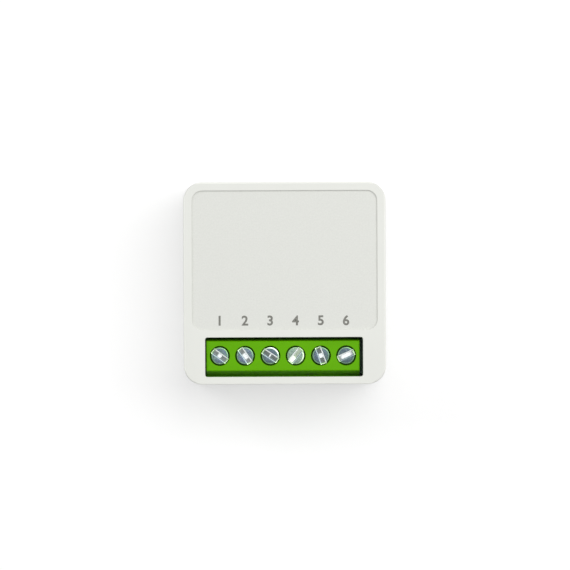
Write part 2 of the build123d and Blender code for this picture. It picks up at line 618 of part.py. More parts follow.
def base_shell():
    """Shallow half of the casing: floor, tongue with snap ridges, button guide and light hole."""
    shell = rounded_slab(
        -HALF_WIDTH, HALF_WIDTH, -HALF_DEPTH, HALF_DEPTH, 0, SEAM_LEVEL, HOUSING_CORNER_RADIUS
    )
    shell = fillet(shell.edges().group_by(Axis.Z)[0], BASE_EDGE_RADIUS)
    shell = chamfer(shell.edges().group_by(Axis.Z)[-1], SEAM_CHAMFER)
    outer_x, outer_y = INNER_HALF_WIDTH - TONGUE_CLEARANCE, INNER_HALF_DEPTH - TONGUE_CLEARANCE
    shell += rounded_slab(
        -outer_x, outer_x, -outer_y, outer_y,
        FLOOR_THICKNESS, SEAM_LEVEL + TONGUE_HEIGHT, INNER_CORNER_RADIUS - TONGUE_CLEARANCE,
    )
    for kind, side, centre in snap_places():
        shell += snap_block(
            kind, side, centre, TONGUE_CLEARANCE + TONGUE_THICKNESS / 2, SNAP_REACH - SNAP_CLEARANCE, 0
        )
    inner_x, inner_y = outer_x - TONGUE_THICKNESS, outer_y - TONGUE_THICKNESS
    shell -= rounded_slab(
        -inner_x, inner_x, -inner_y, inner_y, FLOOR_THICKNESS, BOARD_BOTTOM + CUT_OVERRUN,
        INNER_CORNER_RADIUS - TONGUE_CLEARANCE - TONGUE_THICKNESS,
    )
    bore = BUTTON_FLANGE_RADIUS + GUIDE_CLEARANCE
    guide = upright(
        BUTTON_X, BUTTON_Y, FLOOR_THICKNESS / 2, FLOOR_THICKNESS + GUIDE_HEIGHT, bore + GUIDE_WALL
    )
    guide -= upright(
        BUTTON_X, BUTTON_Y, FLOOR_THICKNESS, FLOOR_THICKNESS + GUIDE_HEIGHT + CUT_OVERRUN, bore
    )
    shell += guide
    shell -= upright(
        BUTTON_X, BUTTON_Y, -CUT_OVERRUN, FLOOR_THICKNESS + CUT_OVERRUN,
        BUTTON_RADIUS + BUTTON_HOLE_CLEARANCE
    )
    shell -= upright(
        LED_X, LED_Y, -CUT_OVERRUN, FLOOR_THICKNESS + CUT_OVERRUN, GUIDE_PIN_RADIUS + GUIDE_PIN_FIT
    )
    return shell


def learn_button():
    """Round push button with a flange that keeps it in the floor and a stem to the switch."""
    button = upright(BUTTON_X, BUTTON_Y, BUTTON_RECESS, BUTTON_FLANGE_BOTTOM, BUTTON_RADIUS)
    button = fillet(button.edges().group_by(Axis.Z)[0], BUTTON_EDGE_RADIUS)
    button += upright(BUTTON_X, BUTTON_Y, BUTTON_FLANGE_BOTTOM, BUTTON_FLANGE_TOP, BUTTON_FLANGE_RADIUS)
    button += upright(
        BUTTON_X, BUTTON_Y, BUTTON_FLANGE_TOP, PLUNGER_TIP - PLUNGER_STEM_GAP, BUTTON_STEM_RADIUS
    )
    return button


def switch_case():
    """Body of the push switch under the board, with its plunger's cavity."""
    half = SWITCH_SIDE / 2
    case = span_box(
        BUTTON_X - half, BUTTON_X + half, BUTTON_Y - half, BUTTON_Y + half, SWITCH_BOTTOM, BOARD_BOTTOM
    )
    cavity_bottom = SWITCH_BOTTOM + SWITCH_FRAME
    case -= upright(
        BUTTON_X, BUTTON_Y, cavity_bottom, cavity_bottom + SWITCH_CAVITY_DEPTH, SWITCH_CAVITY_RADIUS
    )
    case -= upright(
        BUTTON_X, BUTTON_Y, SWITCH_BOTTOM - CUT_OVERRUN, cavity_bottom + CUT_OVERRUN / 2,
        PLUNGER_RADIUS + PLUNGER_CLEARANCE
    )
    return case


def switch_plunger():
    """Plunger that the button's stem pushes."""
    flange_bottom = SWITCH_BOTTOM + SWITCH_FRAME + PLUNGER_STEM_GAP
    flange_top = flange_bottom + PLUNGER_FLANGE_THICKNESS
    dome_bottom = SWITCH_BOTTOM + SWITCH_FRAME + SWITCH_CAVITY_DEPTH - DOME_RISE
    plunger = upright(BUTTON_X, BUTTON_Y, PLUNGER_TIP, flange_bottom, PLUNGER_RADIUS)
    plunger += upright(BUTTON_X, BUTTON_Y, flange_bottom, flange_top, PLUNGER_FLANGE_RADIUS)
    return plunger + upright(
        BUTTON_X, BUTTON_Y, flange_top, dome_bottom - PLUNGER_STEM_GAP, PLUNGER_NUB_RADIUS
    )


def switch_dome():
    """Snap dome behind the plunger: a thin spherical cap that bulges towards it."""
    ball = (DOME_RADIUS ** 2 + DOME_RISE ** 2) / (2 * DOME_RISE)
    rim = SWITCH_BOTTOM + SWITCH_FRAME + SWITCH_CAVITY_DEPTH
    centre = Pos(BUTTON_X, BUTTON_Y, rim + ball - DOME_RISE)
    cap = centre * Sphere(ball) - centre * Sphere(ball - DOME_THICKNESS)
    half = DOME_RADIUS
    return cap & span_box(
        BUTTON_X - half, BUTTON_X + half, BUTTON_Y - half, BUTTON_Y + half,
        rim - DOME_RISE - CUT_OVERRUN, rim,
    )


def light_pipe():
    """Clear pin that carries the status light through the floor."""
    flange_top = FLOOR_THICKNESS + GUIDE_PIN_FLANGE_THICKNESS
    top = BOARD_BOTTOM - LED_HEIGHT - GUIDE_PIN_LED_GAP
    pipe = upright(LED_X, LED_Y, 0, top, GUIDE_PIN_RADIUS)
    pipe = fillet(pipe.edges().group_by(Axis.Z)[0], GUIDE_PIN_DOME)
    return pipe + upright(LED_X, LED_Y, FLOOR_THICKNESS, flange_top, GUIDE_PIN_RADIUS + GUIDE_PIN_FLANGE)


def terminal_housing():
    """Green moulding of the terminal block, with a pocket, a screw well and a wire entry per pole. Its front
    slope ends on a shoulder that the casing's roof covers."""
    corners = [
        (SHOULDER_FRONT, BOARD_TOP),
        (SHOULDER_FRONT, TERMINAL_TOP - FRONT_SLOPE_DROP),
        (TERMINAL_FRONT, TERMINAL_TOP - FRONT_SLOPE_DROP),
        (TERMINAL_FRONT + FRONT_SLOPE_RUN, TERMINAL_TOP),
        (TERMINAL_BACK - BACK_SLOPE_RUN, TERMINAL_TOP),
        (TERMINAL_BACK, TERMINAL_TOP - BACK_SLOPE_DROP),
        (TERMINAL_BACK, BOARD_TOP),
    ]
    outline = Polyline(*[(TERMINAL_LEFT, y, z) for y, z in corners], close=True)
    body = extrude(make_face(outline), TERMINAL_LENGTH, dir=(1, 0, 0))
    body = fillet(
        body.edges().filter_by(lambda e: e.bounding_box().min.Z > TERMINAL_TOP - BACK_SLOPE_DROP / 2),
        TERMINAL_EDGE_RADIUS
    )
    for pole in range(1, POLE_COUNT):
        x = FIRST_POLE_LEFT + pole * POLE_PITCH
        groove_height = TERMINAL_HEIGHT - FRONT_SLOPE_DROP
        groove = Pos(x, SHOULDER_FRONT, BOARD_TOP + groove_height / 2) * Rot(0, 0, 45)
        body -= groove * Box(POLE_GROOVE, POLE_GROOVE, groove_height)
    for pole in range(POLE_COUNT):
        body -= pole_cut(pole_x(pole))
    return body


def pole_cut(x):
    """What one pole takes out of the block: pocket, ledge hole, head well and wire entry."""
    half = CAGE_WIDTH / 2 + CAGE_CLEARANCE
    cut = span_box(x - half, x + half, POCKET_FRONT, POCKET_BACK, BOARD_TOP - CUT_OVERRUN, LEDGE_BOTTOM)
    cut += upright(
        x, SCREW_LINE, LEDGE_BOTTOM - CUT_OVERRUN, LEDGE_TOP, SCREW_RADIUS + SHANK_HOLE_CLEARANCE
    )
    cut += upright(x, SCREW_LINE, LEDGE_TOP, TERMINAL_TOP + CUT_OVERRUN, HEAD_WELL_RADIUS)
    rim = Plane(origin=(x, SCREW_LINE, TERMINAL_TOP - HEAD_WELL_CHAMFER))
    rim_radius = HEAD_WELL_RADIUS + HEAD_WELL_CHAMFER
    cut += Solid.make_cone(HEAD_WELL_RADIUS, rim_radius, HEAD_WELL_CHAMFER, rim)
    cut += rod(
        (x, SHOULDER_FRONT, WIRE_AXIS), (x, POCKET_FRONT + CUT_OVERRUN, WIRE_AXIS), WIRE_ENTRY_RADIUS
    )
    mouth = Plane(origin=(x, SHOULDER_FRONT, WIRE_AXIS), z_dir=(0, 1, 0))
    mouth_radius = WIRE_ENTRY_RADIUS + WIRE_FUNNEL_REACH
    return cut + Solid.make_cone(mouth_radius, WIRE_ENTRY_RADIUS, WIRE_FUNNEL_DEPTH, mouth)


def terminal_contact(x):
    """Fixed contact of one pole: a bar through the cage, a leg behind it and a pin through the board."""
    half = CAGE_WIDTH / 2 - CAGE_SIDE_WALL - CONTACT_SIDE_GAP
    bar = span_box(
        x - half, x + half, CAGE_FRONT + CONTACT_END_GAP, CONTACT_LEG_BACK, CONTACT_BOTTOM, CONTACT_TOP
    )
    leg_half = CONTACT_LEG_WIDTH / 2
    leg_bottom = BOARD_TOP + CONTACT_LEG_STANDOFF
    leg = span_box(
        x - leg_half, x + leg_half, CONTACT_LEG_FRONT, CONTACT_LEG_BACK, leg_bottom, CONTACT_BOTTOM
    )
    pin = upright(x, CONTACT_LINE, TAIL_END, BOARD_TOP + CAGE_ABOVE_BOARD / 2, PIN_RADIUS)
    return bar + leg + pin


def clamp_cage(x):
    """Rising clamp: a square steel tube whose thick roof is tapped for the screw."""
    half = CAGE_WIDTH / 2
    cage = span_box(x - half, x + half, CAGE_FRONT, CAGE_BACK, CAGE_BOTTOM, CAGE_TOP)
    inner = half - CAGE_SIDE_WALL
    cage -= span_box(
        x - inner, x + inner, CAGE_FRONT - CUT_OVERRUN, CAGE_BACK + CUT_OVERRUN,
        CAGE_WINDOW_BOTTOM, CAGE_WINDOW_TOP,
    )
    bore = SCREW_RADIUS + THREAD_CLEARANCE
    return cage - upright(x, SCREW_LINE, CAGE_WINDOW_TOP - CUT_OVERRUN, CAGE_TOP + CUT_OVERRUN, bore)


def clamp_screw(x, turn_deg):
    """Cheese-head screw with a driver slot, its thread cut as rings one pitch apart."""
    root = SCREW_RADIUS - THREAD_DEPTH
    points = [
        (0, SCREW_TIP), (root - SCREW_TIP_CHAMFER / 2, SCREW_TIP), (root, SCREW_TIP + SCREW_TIP_CHAMFER)
    ]
    threads = int((HEAD_BOTTOM - SCREW_TIP - SCREW_TIP_CHAMFER) / SCREW_PITCH)
    start = SCREW_TIP + SCREW_TIP_CHAMFER
    for turn in range(threads):
        low = start + turn * SCREW_PITCH
        points += [(SCREW_RADIUS, low + share * SCREW_PITCH) for share in THREAD_CREST_SHARES]
        points += [(root, low + SCREW_PITCH)]
    points += [
        (root, HEAD_BOTTOM),
        (HEAD_RADIUS, HEAD_BOTTOM),
        (HEAD_RADIUS, HEAD_TOP - HEAD_EDGE_CHAMFER),
        (HEAD_RADIUS - HEAD_EDGE_CHAMFER, HEAD_TOP),
        (0, HEAD_TOP),
    ]
    screw = turned(points)
    slot = Pos(0, 0, HEAD_TOP - SLOT_DEPTH / 2) * Rot(0, 0, turn_deg)
    screw -= slot * Box(2 * HEAD_RADIUS + CUT_OVERRUN, SLOT_WIDTH, SLOT_DEPTH)
    return Pos(x, SCREW_LINE, 0) * screw


def relay_cover():
    """Thin box of the relay, open towards its pins."""
    box = span_box(RELAY_LEFT, RELAY_RIGHT, RELAY_FRONT, RELAY_BACK, RELAY_BOTTOM, RELAY_TOP)
    box = fillet(box.edges().filter_by(Axis.Y) + box.edges().group_by(Axis.Y)[-1], RELAY_COVER_EDGE)
    wall = RELAY_COVER_WALL
    return box - span_box(
        RELAY_LEFT + wall, RELAY_RIGHT - wall, RELAY_FRONT - CUT_OVERRUN, RELAY_BACK - wall,
        RELAY_BOTTOM + wall, RELAY_TOP - wall,
    )


def relay_base(pins):
    """Plate that closes the relay, with the barrier between coil and contacts and its pin holes."""
    inset = RELAY_COVER_WALL + RELAY_BASE_FIT
    low, high = RELAY_BOTTOM + inset, RELAY_TOP - inset
    base = span_box(RELAY_LEFT + inset, RELAY_RIGHT - inset, RELAY_FRONT, RELAY_BASE_BACK, low, high)
    base += span_box(
        BARRIER_LEFT, BARRIER_RIGHT,
        RELAY_BASE_BACK - RELAY_BASE_THICKNESS / 2, BOBBIN_BACK - RELAY_BARRIER_SHORT, low, high,
    )
    for pin in pins:
        base -= pin
    return base


def relay_bobbin():
    """Coil former: a tube between two square flanges."""
    half = BOBBIN_SIDE / 2
    bore = CORE_RADIUS + CORE_CLEARANCE
    bobbin = rod(
        (CORE_LINE, BOBBIN_FRONT, RELAY_MIDDLE), (CORE_LINE, BOBBIN_BACK, RELAY_MIDDLE),
        bore + BOBBIN_TUBE_WALL
    )
    for y0, y1 in ((BOBBIN_FRONT, COIL_FRONT), (COIL_BACK, BOBBIN_BACK)):
        bobbin += span_box(
            CORE_LINE - half, CORE_LINE + half, y0, y1, RELAY_MIDDLE - half, RELAY_MIDDLE + half
        )
    return bobbin - rod(
        (CORE_LINE, BOBBIN_FRONT - CUT_OVERRUN, RELAY_MIDDLE),
        (CORE_LINE, BOBBIN_BACK + CUT_OVERRUN, RELAY_MIDDLE), bore
    )


def relay_winding():
    """Copper winding on the bobbin."""
    start, end = (CORE_LINE, COIL_FRONT, RELAY_MIDDLE), (CORE_LINE, COIL_BACK, RELAY_MIDDLE)
    tube = CORE_RADIUS + CORE_CLEARANCE + BOBBIN_TUBE_WALL
    return rod(start, end, BOBBIN_SIDE / 2 - COIL_RIM_GAP) - rod(start, end, tube)


def relay_core():
    """Iron core with its pole head, riveted through the yoke's foot."""
    core = rod(
        (CORE_LINE, FOOT_FRONT, RELAY_MIDDLE), (CORE_LINE, POLE_HEAD_FRONT, RELAY_MIDDLE), CORE_RADIUS
    )
    return core + rod(
        (CORE_LINE, POLE_HEAD_FRONT, RELAY_MIDDLE), (CORE_LINE, POLE_HEAD_BACK, RELAY_MIDDLE),
        POLE_HEAD_RADIUS
    )


def relay_yoke():
    """L-shaped iron yoke whose rounded tip carries the armature."""
    low, high = RELAY_MIDDLE - YOKE_WIDTH / 2, RELAY_MIDDLE + YOKE_WIDTH / 2
    yoke = span_box(YOKE_LEFT, YOKE_RIGHT, FOOT_FRONT, PIVOT_Y, low, high)
    yoke += rod((PIVOT_X, PIVOT_Y, low), (PIVOT_X, PIVOT_Y, high), YOKE_TIP_RADIUS)
    yoke += span_box(
        YOKE_LEFT, CORE_LINE + CORE_RADIUS + YOKE_THICKNESS / 2, FOOT_FRONT, FOOT_BACK, low, high
    )
    return yoke - rod(
        (CORE_LINE, FOOT_FRONT - CUT_OVERRUN, RELAY_MIDDLE),
        (CORE_LINE, FOOT_BACK + CUT_OVERRUN, RELAY_MIDDLE), CORE_RADIUS
    )


def opened(shape):
    """Turns a piece of the armature from the pulled-in place, flat on the pole, to its open rest."""
    return Pos(PIVOT_X, PIVOT_Y, 0) * Rot(0, 0, ARMATURE_OPEN_DEG) * Pos(-PIVOT_X, -PIVOT_Y, 0) * shape


def relay_armature():
    """Iron armature with a round seat for the yoke's tip."""
    low, high = RELAY_MIDDLE - ARMATURE_WIDTH / 2, RELAY_MIDDLE + ARMATURE_WIDTH / 2
    plate = span_box(
        PIVOT_X - ARMATURE_HEEL, CORE_LINE + POLE_HEAD_RADIUS + ARMATURE_PAST_POLE,
        ARMATURE_FRONT, ARMATURE_BACK, low, high,
    )
    seat = rod(
        (PIVOT_X, PIVOT_Y, low - CUT_OVERRUN), (PIVOT_X, PIVOT_Y, high + CUT_OVERRUN),
        YOKE_TIP_RADIUS + PIVOT_CLEARANCE
    )
    return opened(plate - seat)


def contact_leaf():
    """Copper leaf on the armature that carries the moving contact."""
    half = LEAF_WIDTH / 2
    leaf = span_box(
        PIVOT_X + LEAF_START, RIVET_LINE + LEAF_PAST_RIVET, ARMATURE_BACK, LEAF_BACK,
        RELAY_MIDDLE - half, RELAY_MIDDLE + half,
    )
    hole = rod(
        (RIVET_LINE, ARMATURE_BACK - CUT_OVERRUN, RELAY_MIDDLE),
        (RIVET_LINE, LEAF_BACK + CUT_OVERRUN, RELAY_MIDDLE), RIVET_BACK_RADIUS / 2
    )
    return opened(leaf - hole)


def moving_contact():
    """Silver rivet through the leaf."""
    face = ARMATURE_BACK - RIVET_THICKNESS
    rivet = rod((RIVET_LINE, face, RELAY_MIDDLE), (RIVET_LINE, ARMATURE_BACK, RELAY_MIDDLE), RIVET_RADIUS)
    rivet += rod(
        (RIVET_LINE, ARMATURE_BACK, RELAY_MIDDLE), (RIVET_LINE, LEAF_BACK, RELAY_MIDDLE),
        RIVET_BACK_RADIUS / 2
    )
    rivet += rod(
        (RIVET_LINE, LEAF_BACK, RELAY_MIDDLE),
        (RIVET_LINE, LEAF_BACK + RIVET_BACK_THICKNESS, RELAY_MIDDLE), RIVET_BACK_RADIUS
    )
    return opened(rivet)


def return_spring():
    """Bent leaf from the yoke's outer face over the armature's heel."""
    half = LEAF_WIDTH / 2
    low, high = RELAY_MIDDLE - half, RELAY_MIDDLE + half
    left = YOKE_LEFT - RETURN_SPRING_THICKNESS
    top = ARMATURE_BACK + RETURN_SPRING_LIFT
    spring = span_box(
        left, YOKE_LEFT, PIVOT_Y - RETURN_SPRING_LENGTH, top + RETURN_SPRING_THICKNESS, low, high
    )
    return spring + span_box(
        left, PIVOT_X + RETURN_SPRING_OVER, top, top + RETURN_SPRING_THICKNESS, low, high
    )


def fixed_contact():
    """Fixed contact's plate and its silver rivet."""
    half = FIXED_PLATE_WIDTH / 2
    low, high = RELAY_MIDDLE - half, RELAY_MIDDLE + half
    left = FIXED_PLATE_RIGHT - FIXED_PLATE_THICKNESS
    plate = span_box(left, FIXED_PLATE_RIGHT, RELAY_BASE_BACK, FIXED_LEDGE_BACK, low, high)
    plate += span_box(
        RIVET_LINE - RIVET_RADIUS - FIXED_LEDGE_PAST_RIVET, FIXED_PLATE_RIGHT,
        FIXED_LEDGE_BACK - FIXED_PLATE_THICKNESS, FIXED_LEDGE_BACK, low, high,
    )
    rivet = rod(
        (RIVET_LINE, FIXED_LEDGE_BACK, RELAY_MIDDLE), (RIVET_LINE, FIXED_CONTACT_BACK, RELAY_MIDDLE),
        RIVET_RADIUS
    )
    return plate, rivet


def relay_pin(x, z, inner_y, radius):
    """A relay pin that leaves the base, turns down and goes through the board."""
    return bent_wire(
        [(x, inner_y, z), (x, RELAY_PIN_LINE, z), (x, RELAY_PIN_LINE, TAIL_END)], radius, PIN_BEND
    )


def contact_pins():
    """The relay's two load pins: one from the yoke's foot, one from the fixed contact's plate."""
    return [
        relay_pin(YOKE_PIN_X, RELAY_MIDDLE, FOOT_FRONT, PIN_RADIUS),
        relay_pin(FIXED_PIN_X, RELAY_MIDDLE, RELAY_BASE_BACK, PIN_RADIUS),
    ]


def coil_pins():
    """The relay's two coil pins, from the bobbin's flange."""
    z = RELAY_BOTTOM + RELAY_COVER_WALL + COIL_PIN_HEIGHT
    return [
        relay_pin(CORE_LINE + side * COIL_PIN_SPREAD, z, BOBBIN_FRONT, COIL_PIN_RADIUS) for side in (-1, 1)
    ]


def capacitor(radius, length, lead_spacing):
    """Can, bung, wound roll and lead places of a capacitor that stands on Z = 0 on its bung."""
    can = upright(0, 0, 0, length, radius)
    can = fillet(can.edges().group_by(Axis.Z)[-1], CAP_EDGE_RADIUS)
    crimp = Pos(0, 0, CAP_CRIMP_BACK) * Torus(radius, CAP_CRIMP)
    can -= crimp
    inner = radius - CAP_WALL - CAP_CRIMP
    can -= upright(0, 0, -CUT_OVERRUN, length - CAP_WALL, inner)
    bung = upright(0, 0, CAP_WALL, CAP_WALL + CAP_BUNG, inner)
    roll = upright(
        0, 0, CAP_WALL + CAP_BUNG + CAP_ROLL_GAP, length - CAP_WALL - CAP_ROLL_GAP, inner - CAP_ROLL_GAP
    )
    return can, bung, roll, [side * lead_spacing / 2 for side in (-1, 1)]


def mains_capacitor():
    """The lying capacitor, with its leads turned down into the board."""
    z = BOARD_TOP + MAINS_CAP_STANDOFF + MAINS_CAP_RADIUS
    place = Pos(MAINS_CAP_LEFT, MAINS_CAP_Y, z) * Rot(0, 90, 0)
    length = MAINS_CAP_RIGHT - MAINS_CAP_LEFT
    can, bung, roll, offsets = capacitor(MAINS_CAP_RADIUS, length, MAINS_CAP_LEAD_SPACING)
    leads = [
        bent_wire(
            [
                (MAINS_CAP_LEFT + CAP_WALL + CAP_BUNG, MAINS_CAP_Y + offset, z),
                (MAINS_CAP_LEAD_X, MAINS_CAP_Y + offset, z),
                (MAINS_CAP_LEAD_X, MAINS_CAP_Y + offset, TAIL_END),
            ],
            CAP_LEAD_RADIUS, PIN_BEND,
        )
        for offset in offsets
    ]
    return place * can, place * bung - leads[0] - leads[1], place * roll, leads


def output_capacitor():
    """The standing capacitor."""
    place = Pos(OUTPUT_CAP_X, OUTPUT_CAP_Y, BOARD_TOP + OUTPUT_CAP_STANDOFF)
    can, bung, roll, offsets = capacitor(OUTPUT_CAP_RADIUS, OUTPUT_CAP_LENGTH, OUTPUT_CAP_LEAD_SPACING)
    top = BOARD_TOP + OUTPUT_CAP_STANDOFF + CAP_WALL + CAP_BUNG
    leads = [
        upright(OUTPUT_CAP_X + offset, OUTPUT_CAP_Y, TAIL_END, top, CAP_LEAD_RADIUS) for offset in offsets
    ]
    return place * can, place * bung - leads[0] - leads[1], place * roll, leads


def varistor():
    """Surge disc on edge, and its two leads."""
    y = (VARISTOR_FRONT + VARISTOR_BACK) / 2
    z = BOARD_TOP + VARISTOR_STANDOFF + VARISTOR_RADIUS
    disc = rod((VARISTOR_X, VARISTOR_FRONT, z), (VARISTOR_X, VARISTOR_BACK, z), VARISTOR_RADIUS)
    disc = fillet(disc.edges().filter_by(GeomType.CIRCLE), VARISTOR_THICKNESS / 4)
    leads = [
        upright(VARISTOR_X + side * VARISTOR_LEAD_SPACING / 2, y, TAIL_END, z, VARISTOR_LEAD_RADIUS)
        for side in (-1, 1)
    ]
    return disc - leads[0] - leads[1], leads


def fuse_resistor():
    """Fusible resistor lying over the board, with capped ends."""
    z = BOARD_TOP + FUSE_STANDOFF + FUSE_RADIUS
    left, right = FUSE_X - FUSE_LENGTH / 2, FUSE_X + FUSE_LENGTH / 2
    body = rod((left, FUSE_Y, z), (right, FUSE_Y, z), FUSE_RADIUS - FUSE_CAP_STEP)
    for x0, x1 in ((left, left + FUSE_CAP_LENGTH), (right - FUSE_CAP_LENGTH, right)):
        body += rod((x0, FUSE_Y, z), (x1, FUSE_Y, z), FUSE_RADIUS)
    leads = [
        bent_wire(
            [
                (end + side * -FUSE_CAP_LENGTH, FUSE_Y, z),
                (end + side * FUSE_LEAD_OUT, FUSE_Y, z),
                (end + side * FUSE_LEAD_OUT, FUSE_Y, TAIL_END),
            ],
            FUSE_LEAD_RADIUS, PIN_BEND,
        )
        for side, end in ((-1, left), (1, right))
    ]
    return body - leads[0] - leads[1], leads


def choke():
    """Drum core, its winding and two leads."""
    bottom = BOARD_TOP + CHOKE_STANDOFF
    top = bottom + CHOKE_HEIGHT
    core = upright(CHOKE_X, CHOKE_Y, bottom, top, CHOKE_CORE_RADIUS)
    core += upright(CHOKE_X, CHOKE_Y, bottom, bottom + CHOKE_FLANGE, CHOKE_RADIUS)
    core += upright(CHOKE_X, CHOKE_Y, top - CHOKE_FLANGE, top, CHOKE_RADIUS)
    winding = upright(
        CHOKE_X, CHOKE_Y, bottom + CHOKE_FLANGE, top - CHOKE_FLANGE, CHOKE_RADIUS - CHOKE_WINDING_RIM
    )
    winding -= upright(CHOKE_X, CHOKE_Y, bottom, top, CHOKE_CORE_RADIUS)
    leads = [
        upright(
            CHOKE_X + side * CHOKE_LEAD_SPACING / 2, CHOKE_Y, TAIL_END, bottom + CHOKE_FLANGE,
            CHOKE_LEAD_RADIUS
        )
        for side in (-1, 1)
    ]
    return core - leads[0] - leads[1], winding, leads


def leg(width, root_height):
    """One gull-wing leg that leaves the body at Y = 0 and runs towards +Y down to Z = 0."""
    t = LEG_THICKNESS
    points = [
        (0, root_height + t), (0, root_height), (LEG_SHOULDER - t, root_height), (LEG_SHOULDER, 0),
        (LEG_REACH, 0), (LEG_REACH, t), (LEG_SHOULDER + t, t), (LEG_SHOULDER, root_height + t),
    ]
    outline = Polyline(*[(0, y, z) for y, z in points], close=True)
    return Pos(-width / 2, 0, 0) * extrude(make_face(outline), width, dir=(1, 0, 0))


def chip(length, width, height, legs_per_side, pitch, leg_width):
    """A chip's body and its legs, lying on Z = 0 with its long side along X."""
    body = span_box(-length / 2, length / 2, -width / 2, width / 2, SOP_STANDOFF, SOP_STANDOFF + height)
    body = chamfer(body.edges().group_by(Axis.Z)[-1], CHIP_EDGE_CHAMFER)
    root = SOP_STANDOFF + height * LEG_ROOT_HEIGHT_SHARE
    legs = []
    for place in range(legs_per_side):
        x = (place - (legs_per_side - 1) / 2) * pitch
        legs.append(Pos(x, width / 2, 0) * leg(leg_width, root))
        legs.append(Pos(x, -width / 2, 0) * Rot(0, 0, 180) * leg(leg_width, root))
    return body, legs


def under_board(x, y):
    """A place on the board's underside, facing down."""
    return Pos(x, y, BOARD_BOTTOM) * Rot(180, 0, 0)


def on_radio_board(shares):
    """A place on the radio board's back face, facing +Y, at shares of its length and height."""
    x = RADIO_LEFT + shares[0] * RADIO_LENGTH
    z = RADIO_BOTTOM + shares[1] * RADIO_HEIGHT
    return Pos(x, RADIO_BACK, z) * Rot(-90, 0, 0)


def small_parts(places, height):
    """Two-ended chip parts on the underside."""
    part = span_box(
        -CHIP_PART_LENGTH / 2, CHIP_PART_LENGTH / 2, -CHIP_PART_WIDTH / 2, CHIP_PART_WIDTH / 2, 0, height
    )
    return [under_board(x, y) * part for x, y in places]


def resistor_places():
    """Rows of chip resistors in front of the large chip."""
    rows = [UNDER_RELAY_Y + share * UNDER_RELAY_HALF for share in RESISTOR_ROW_SHARES]
    return [(FIRST_RESISTOR_X + place * CHIP_PART_PITCH, y) for y in rows for place in range(RESISTOR_COUNT)]


def ceramic_places():
    """Rows of chip capacitors at the end of the large chip."""
    rows = [FIRST_CERAMIC_Y + row * CHIP_PART_ROW_PITCH for row in range(CERAMIC_ROWS)]
    return [(FIRST_CERAMIC_X + place * CHIP_PART_PITCH, y) for y in rows for place in range(CERAMIC_COUNT)]


def radio_pin_places():
    """X of each pin of the radio board."""
    first = RADIO_LEFT + RADIO_LENGTH / 2 - (RADIO_PIN_COUNT - 1) * RADIO_PIN_SPACING / 2
    return [first + pin * RADIO_PIN_SPACING for pin in range(RADIO_PIN_COUNT)]


def aerial_point(angle):
    """A point on the aerial's helix about the X axis, from where its leg comes up."""
    return Vector(
        AERIAL_LEFT + AERIAL_PITCH * angle / math.tau,
        AERIAL_Y - AERIAL_RADIUS * math.cos(angle),
        AERIAL_Z + AERIAL_RADIUS * math.sin(angle),
    )


def aerial_heading(angle):
    """The helix's direction at an angle."""
    climb = AERIAL_PITCH / math.tau
    return Vector(climb, AERIAL_RADIUS * math.sin(angle), AERIAL_RADIUS * math.cos(angle)).normalized()


def biarc(start, start_heading, end, end_heading):
    """Two arcs that join two points, tangent to each other and to both headings."""
    chord = end - start
    both = start_heading + end_heading
    turn = 2 * (1 - start_heading.dot(end_heading))
    along = chord.dot(both)
    reach = (math.sqrt(along ** 2 + turn * chord.dot(chord)) - along) / turn
    corner = start + start_heading * reach
    far_corner = end - end_heading * reach
    joint = (corner + far_corner) / 2
    return [
        TangentArc(start, joint, tangent=start_heading),
        TangentArc(joint, end, tangent=far_corner - corner)
    ]


def aerial():
    """One wire: a straight leg through the board, then turns along X, and a straight end."""
    leg_top = aerial_point(0)
    leg_foot = Vector(leg_top.X, leg_top.Y, TAIL_END)
    half_turns = [math.pi * half for half in range(2 * AERIAL_TURNS + 1)]
    headings = [Vector(0, 0, 1)] + [aerial_heading(angle) for angle in half_turns[1:]]
    runs = [Line(leg_foot, leg_top)]
    for half, angle in enumerate(half_turns[:-1]):
        there = half_turns[half + 1]
        runs += biarc(aerial_point(angle), headings[half], aerial_point(there), headings[half + 1])
    tip = aerial_point(half_turns[-1])
    runs += [Line(tip, tip + headings[-1] * (2 * AERIAL_WIRE_RADIUS))]
    path = Wire([run.edge() for run in runs])
    print_aerial_gap()
    return sweep(Plane(origin=leg_foot, z_dir=(0, 0, 1)) * Circle(AERIAL_WIRE_RADIUS), path=path)


def print_aerial_gap():
    """Prints the least gap of the aerial's wire to itself, measured on points of its turns and its leg."""
    count = AERIAL_TURNS * GAP_SAMPLES_PER_TURN
    step = math.tau / GAP_SAMPLES_PER_TURN
    turns = [aerial_point(step * sample) for sample in range(count + 1)]
    drop = AERIAL_Z - TAIL_END
    leg = [
        turns[0] - Vector(0, 0, drop * sample / GAP_SAMPLES_PER_TURN)
        for sample in range(1, GAP_SAMPLES_PER_TURN)
    ]
    wire = leg[::-1] + turns
    apart = GAP_SAMPLES_PER_TURN // 2
    least = min((a - b).length for near, a in enumerate(wire) for b in wire[near + apart:])
    print(f"aerial wire's least gap to itself: {least - 2 * AERIAL_WIRE_RADIUS:.3f} mm")


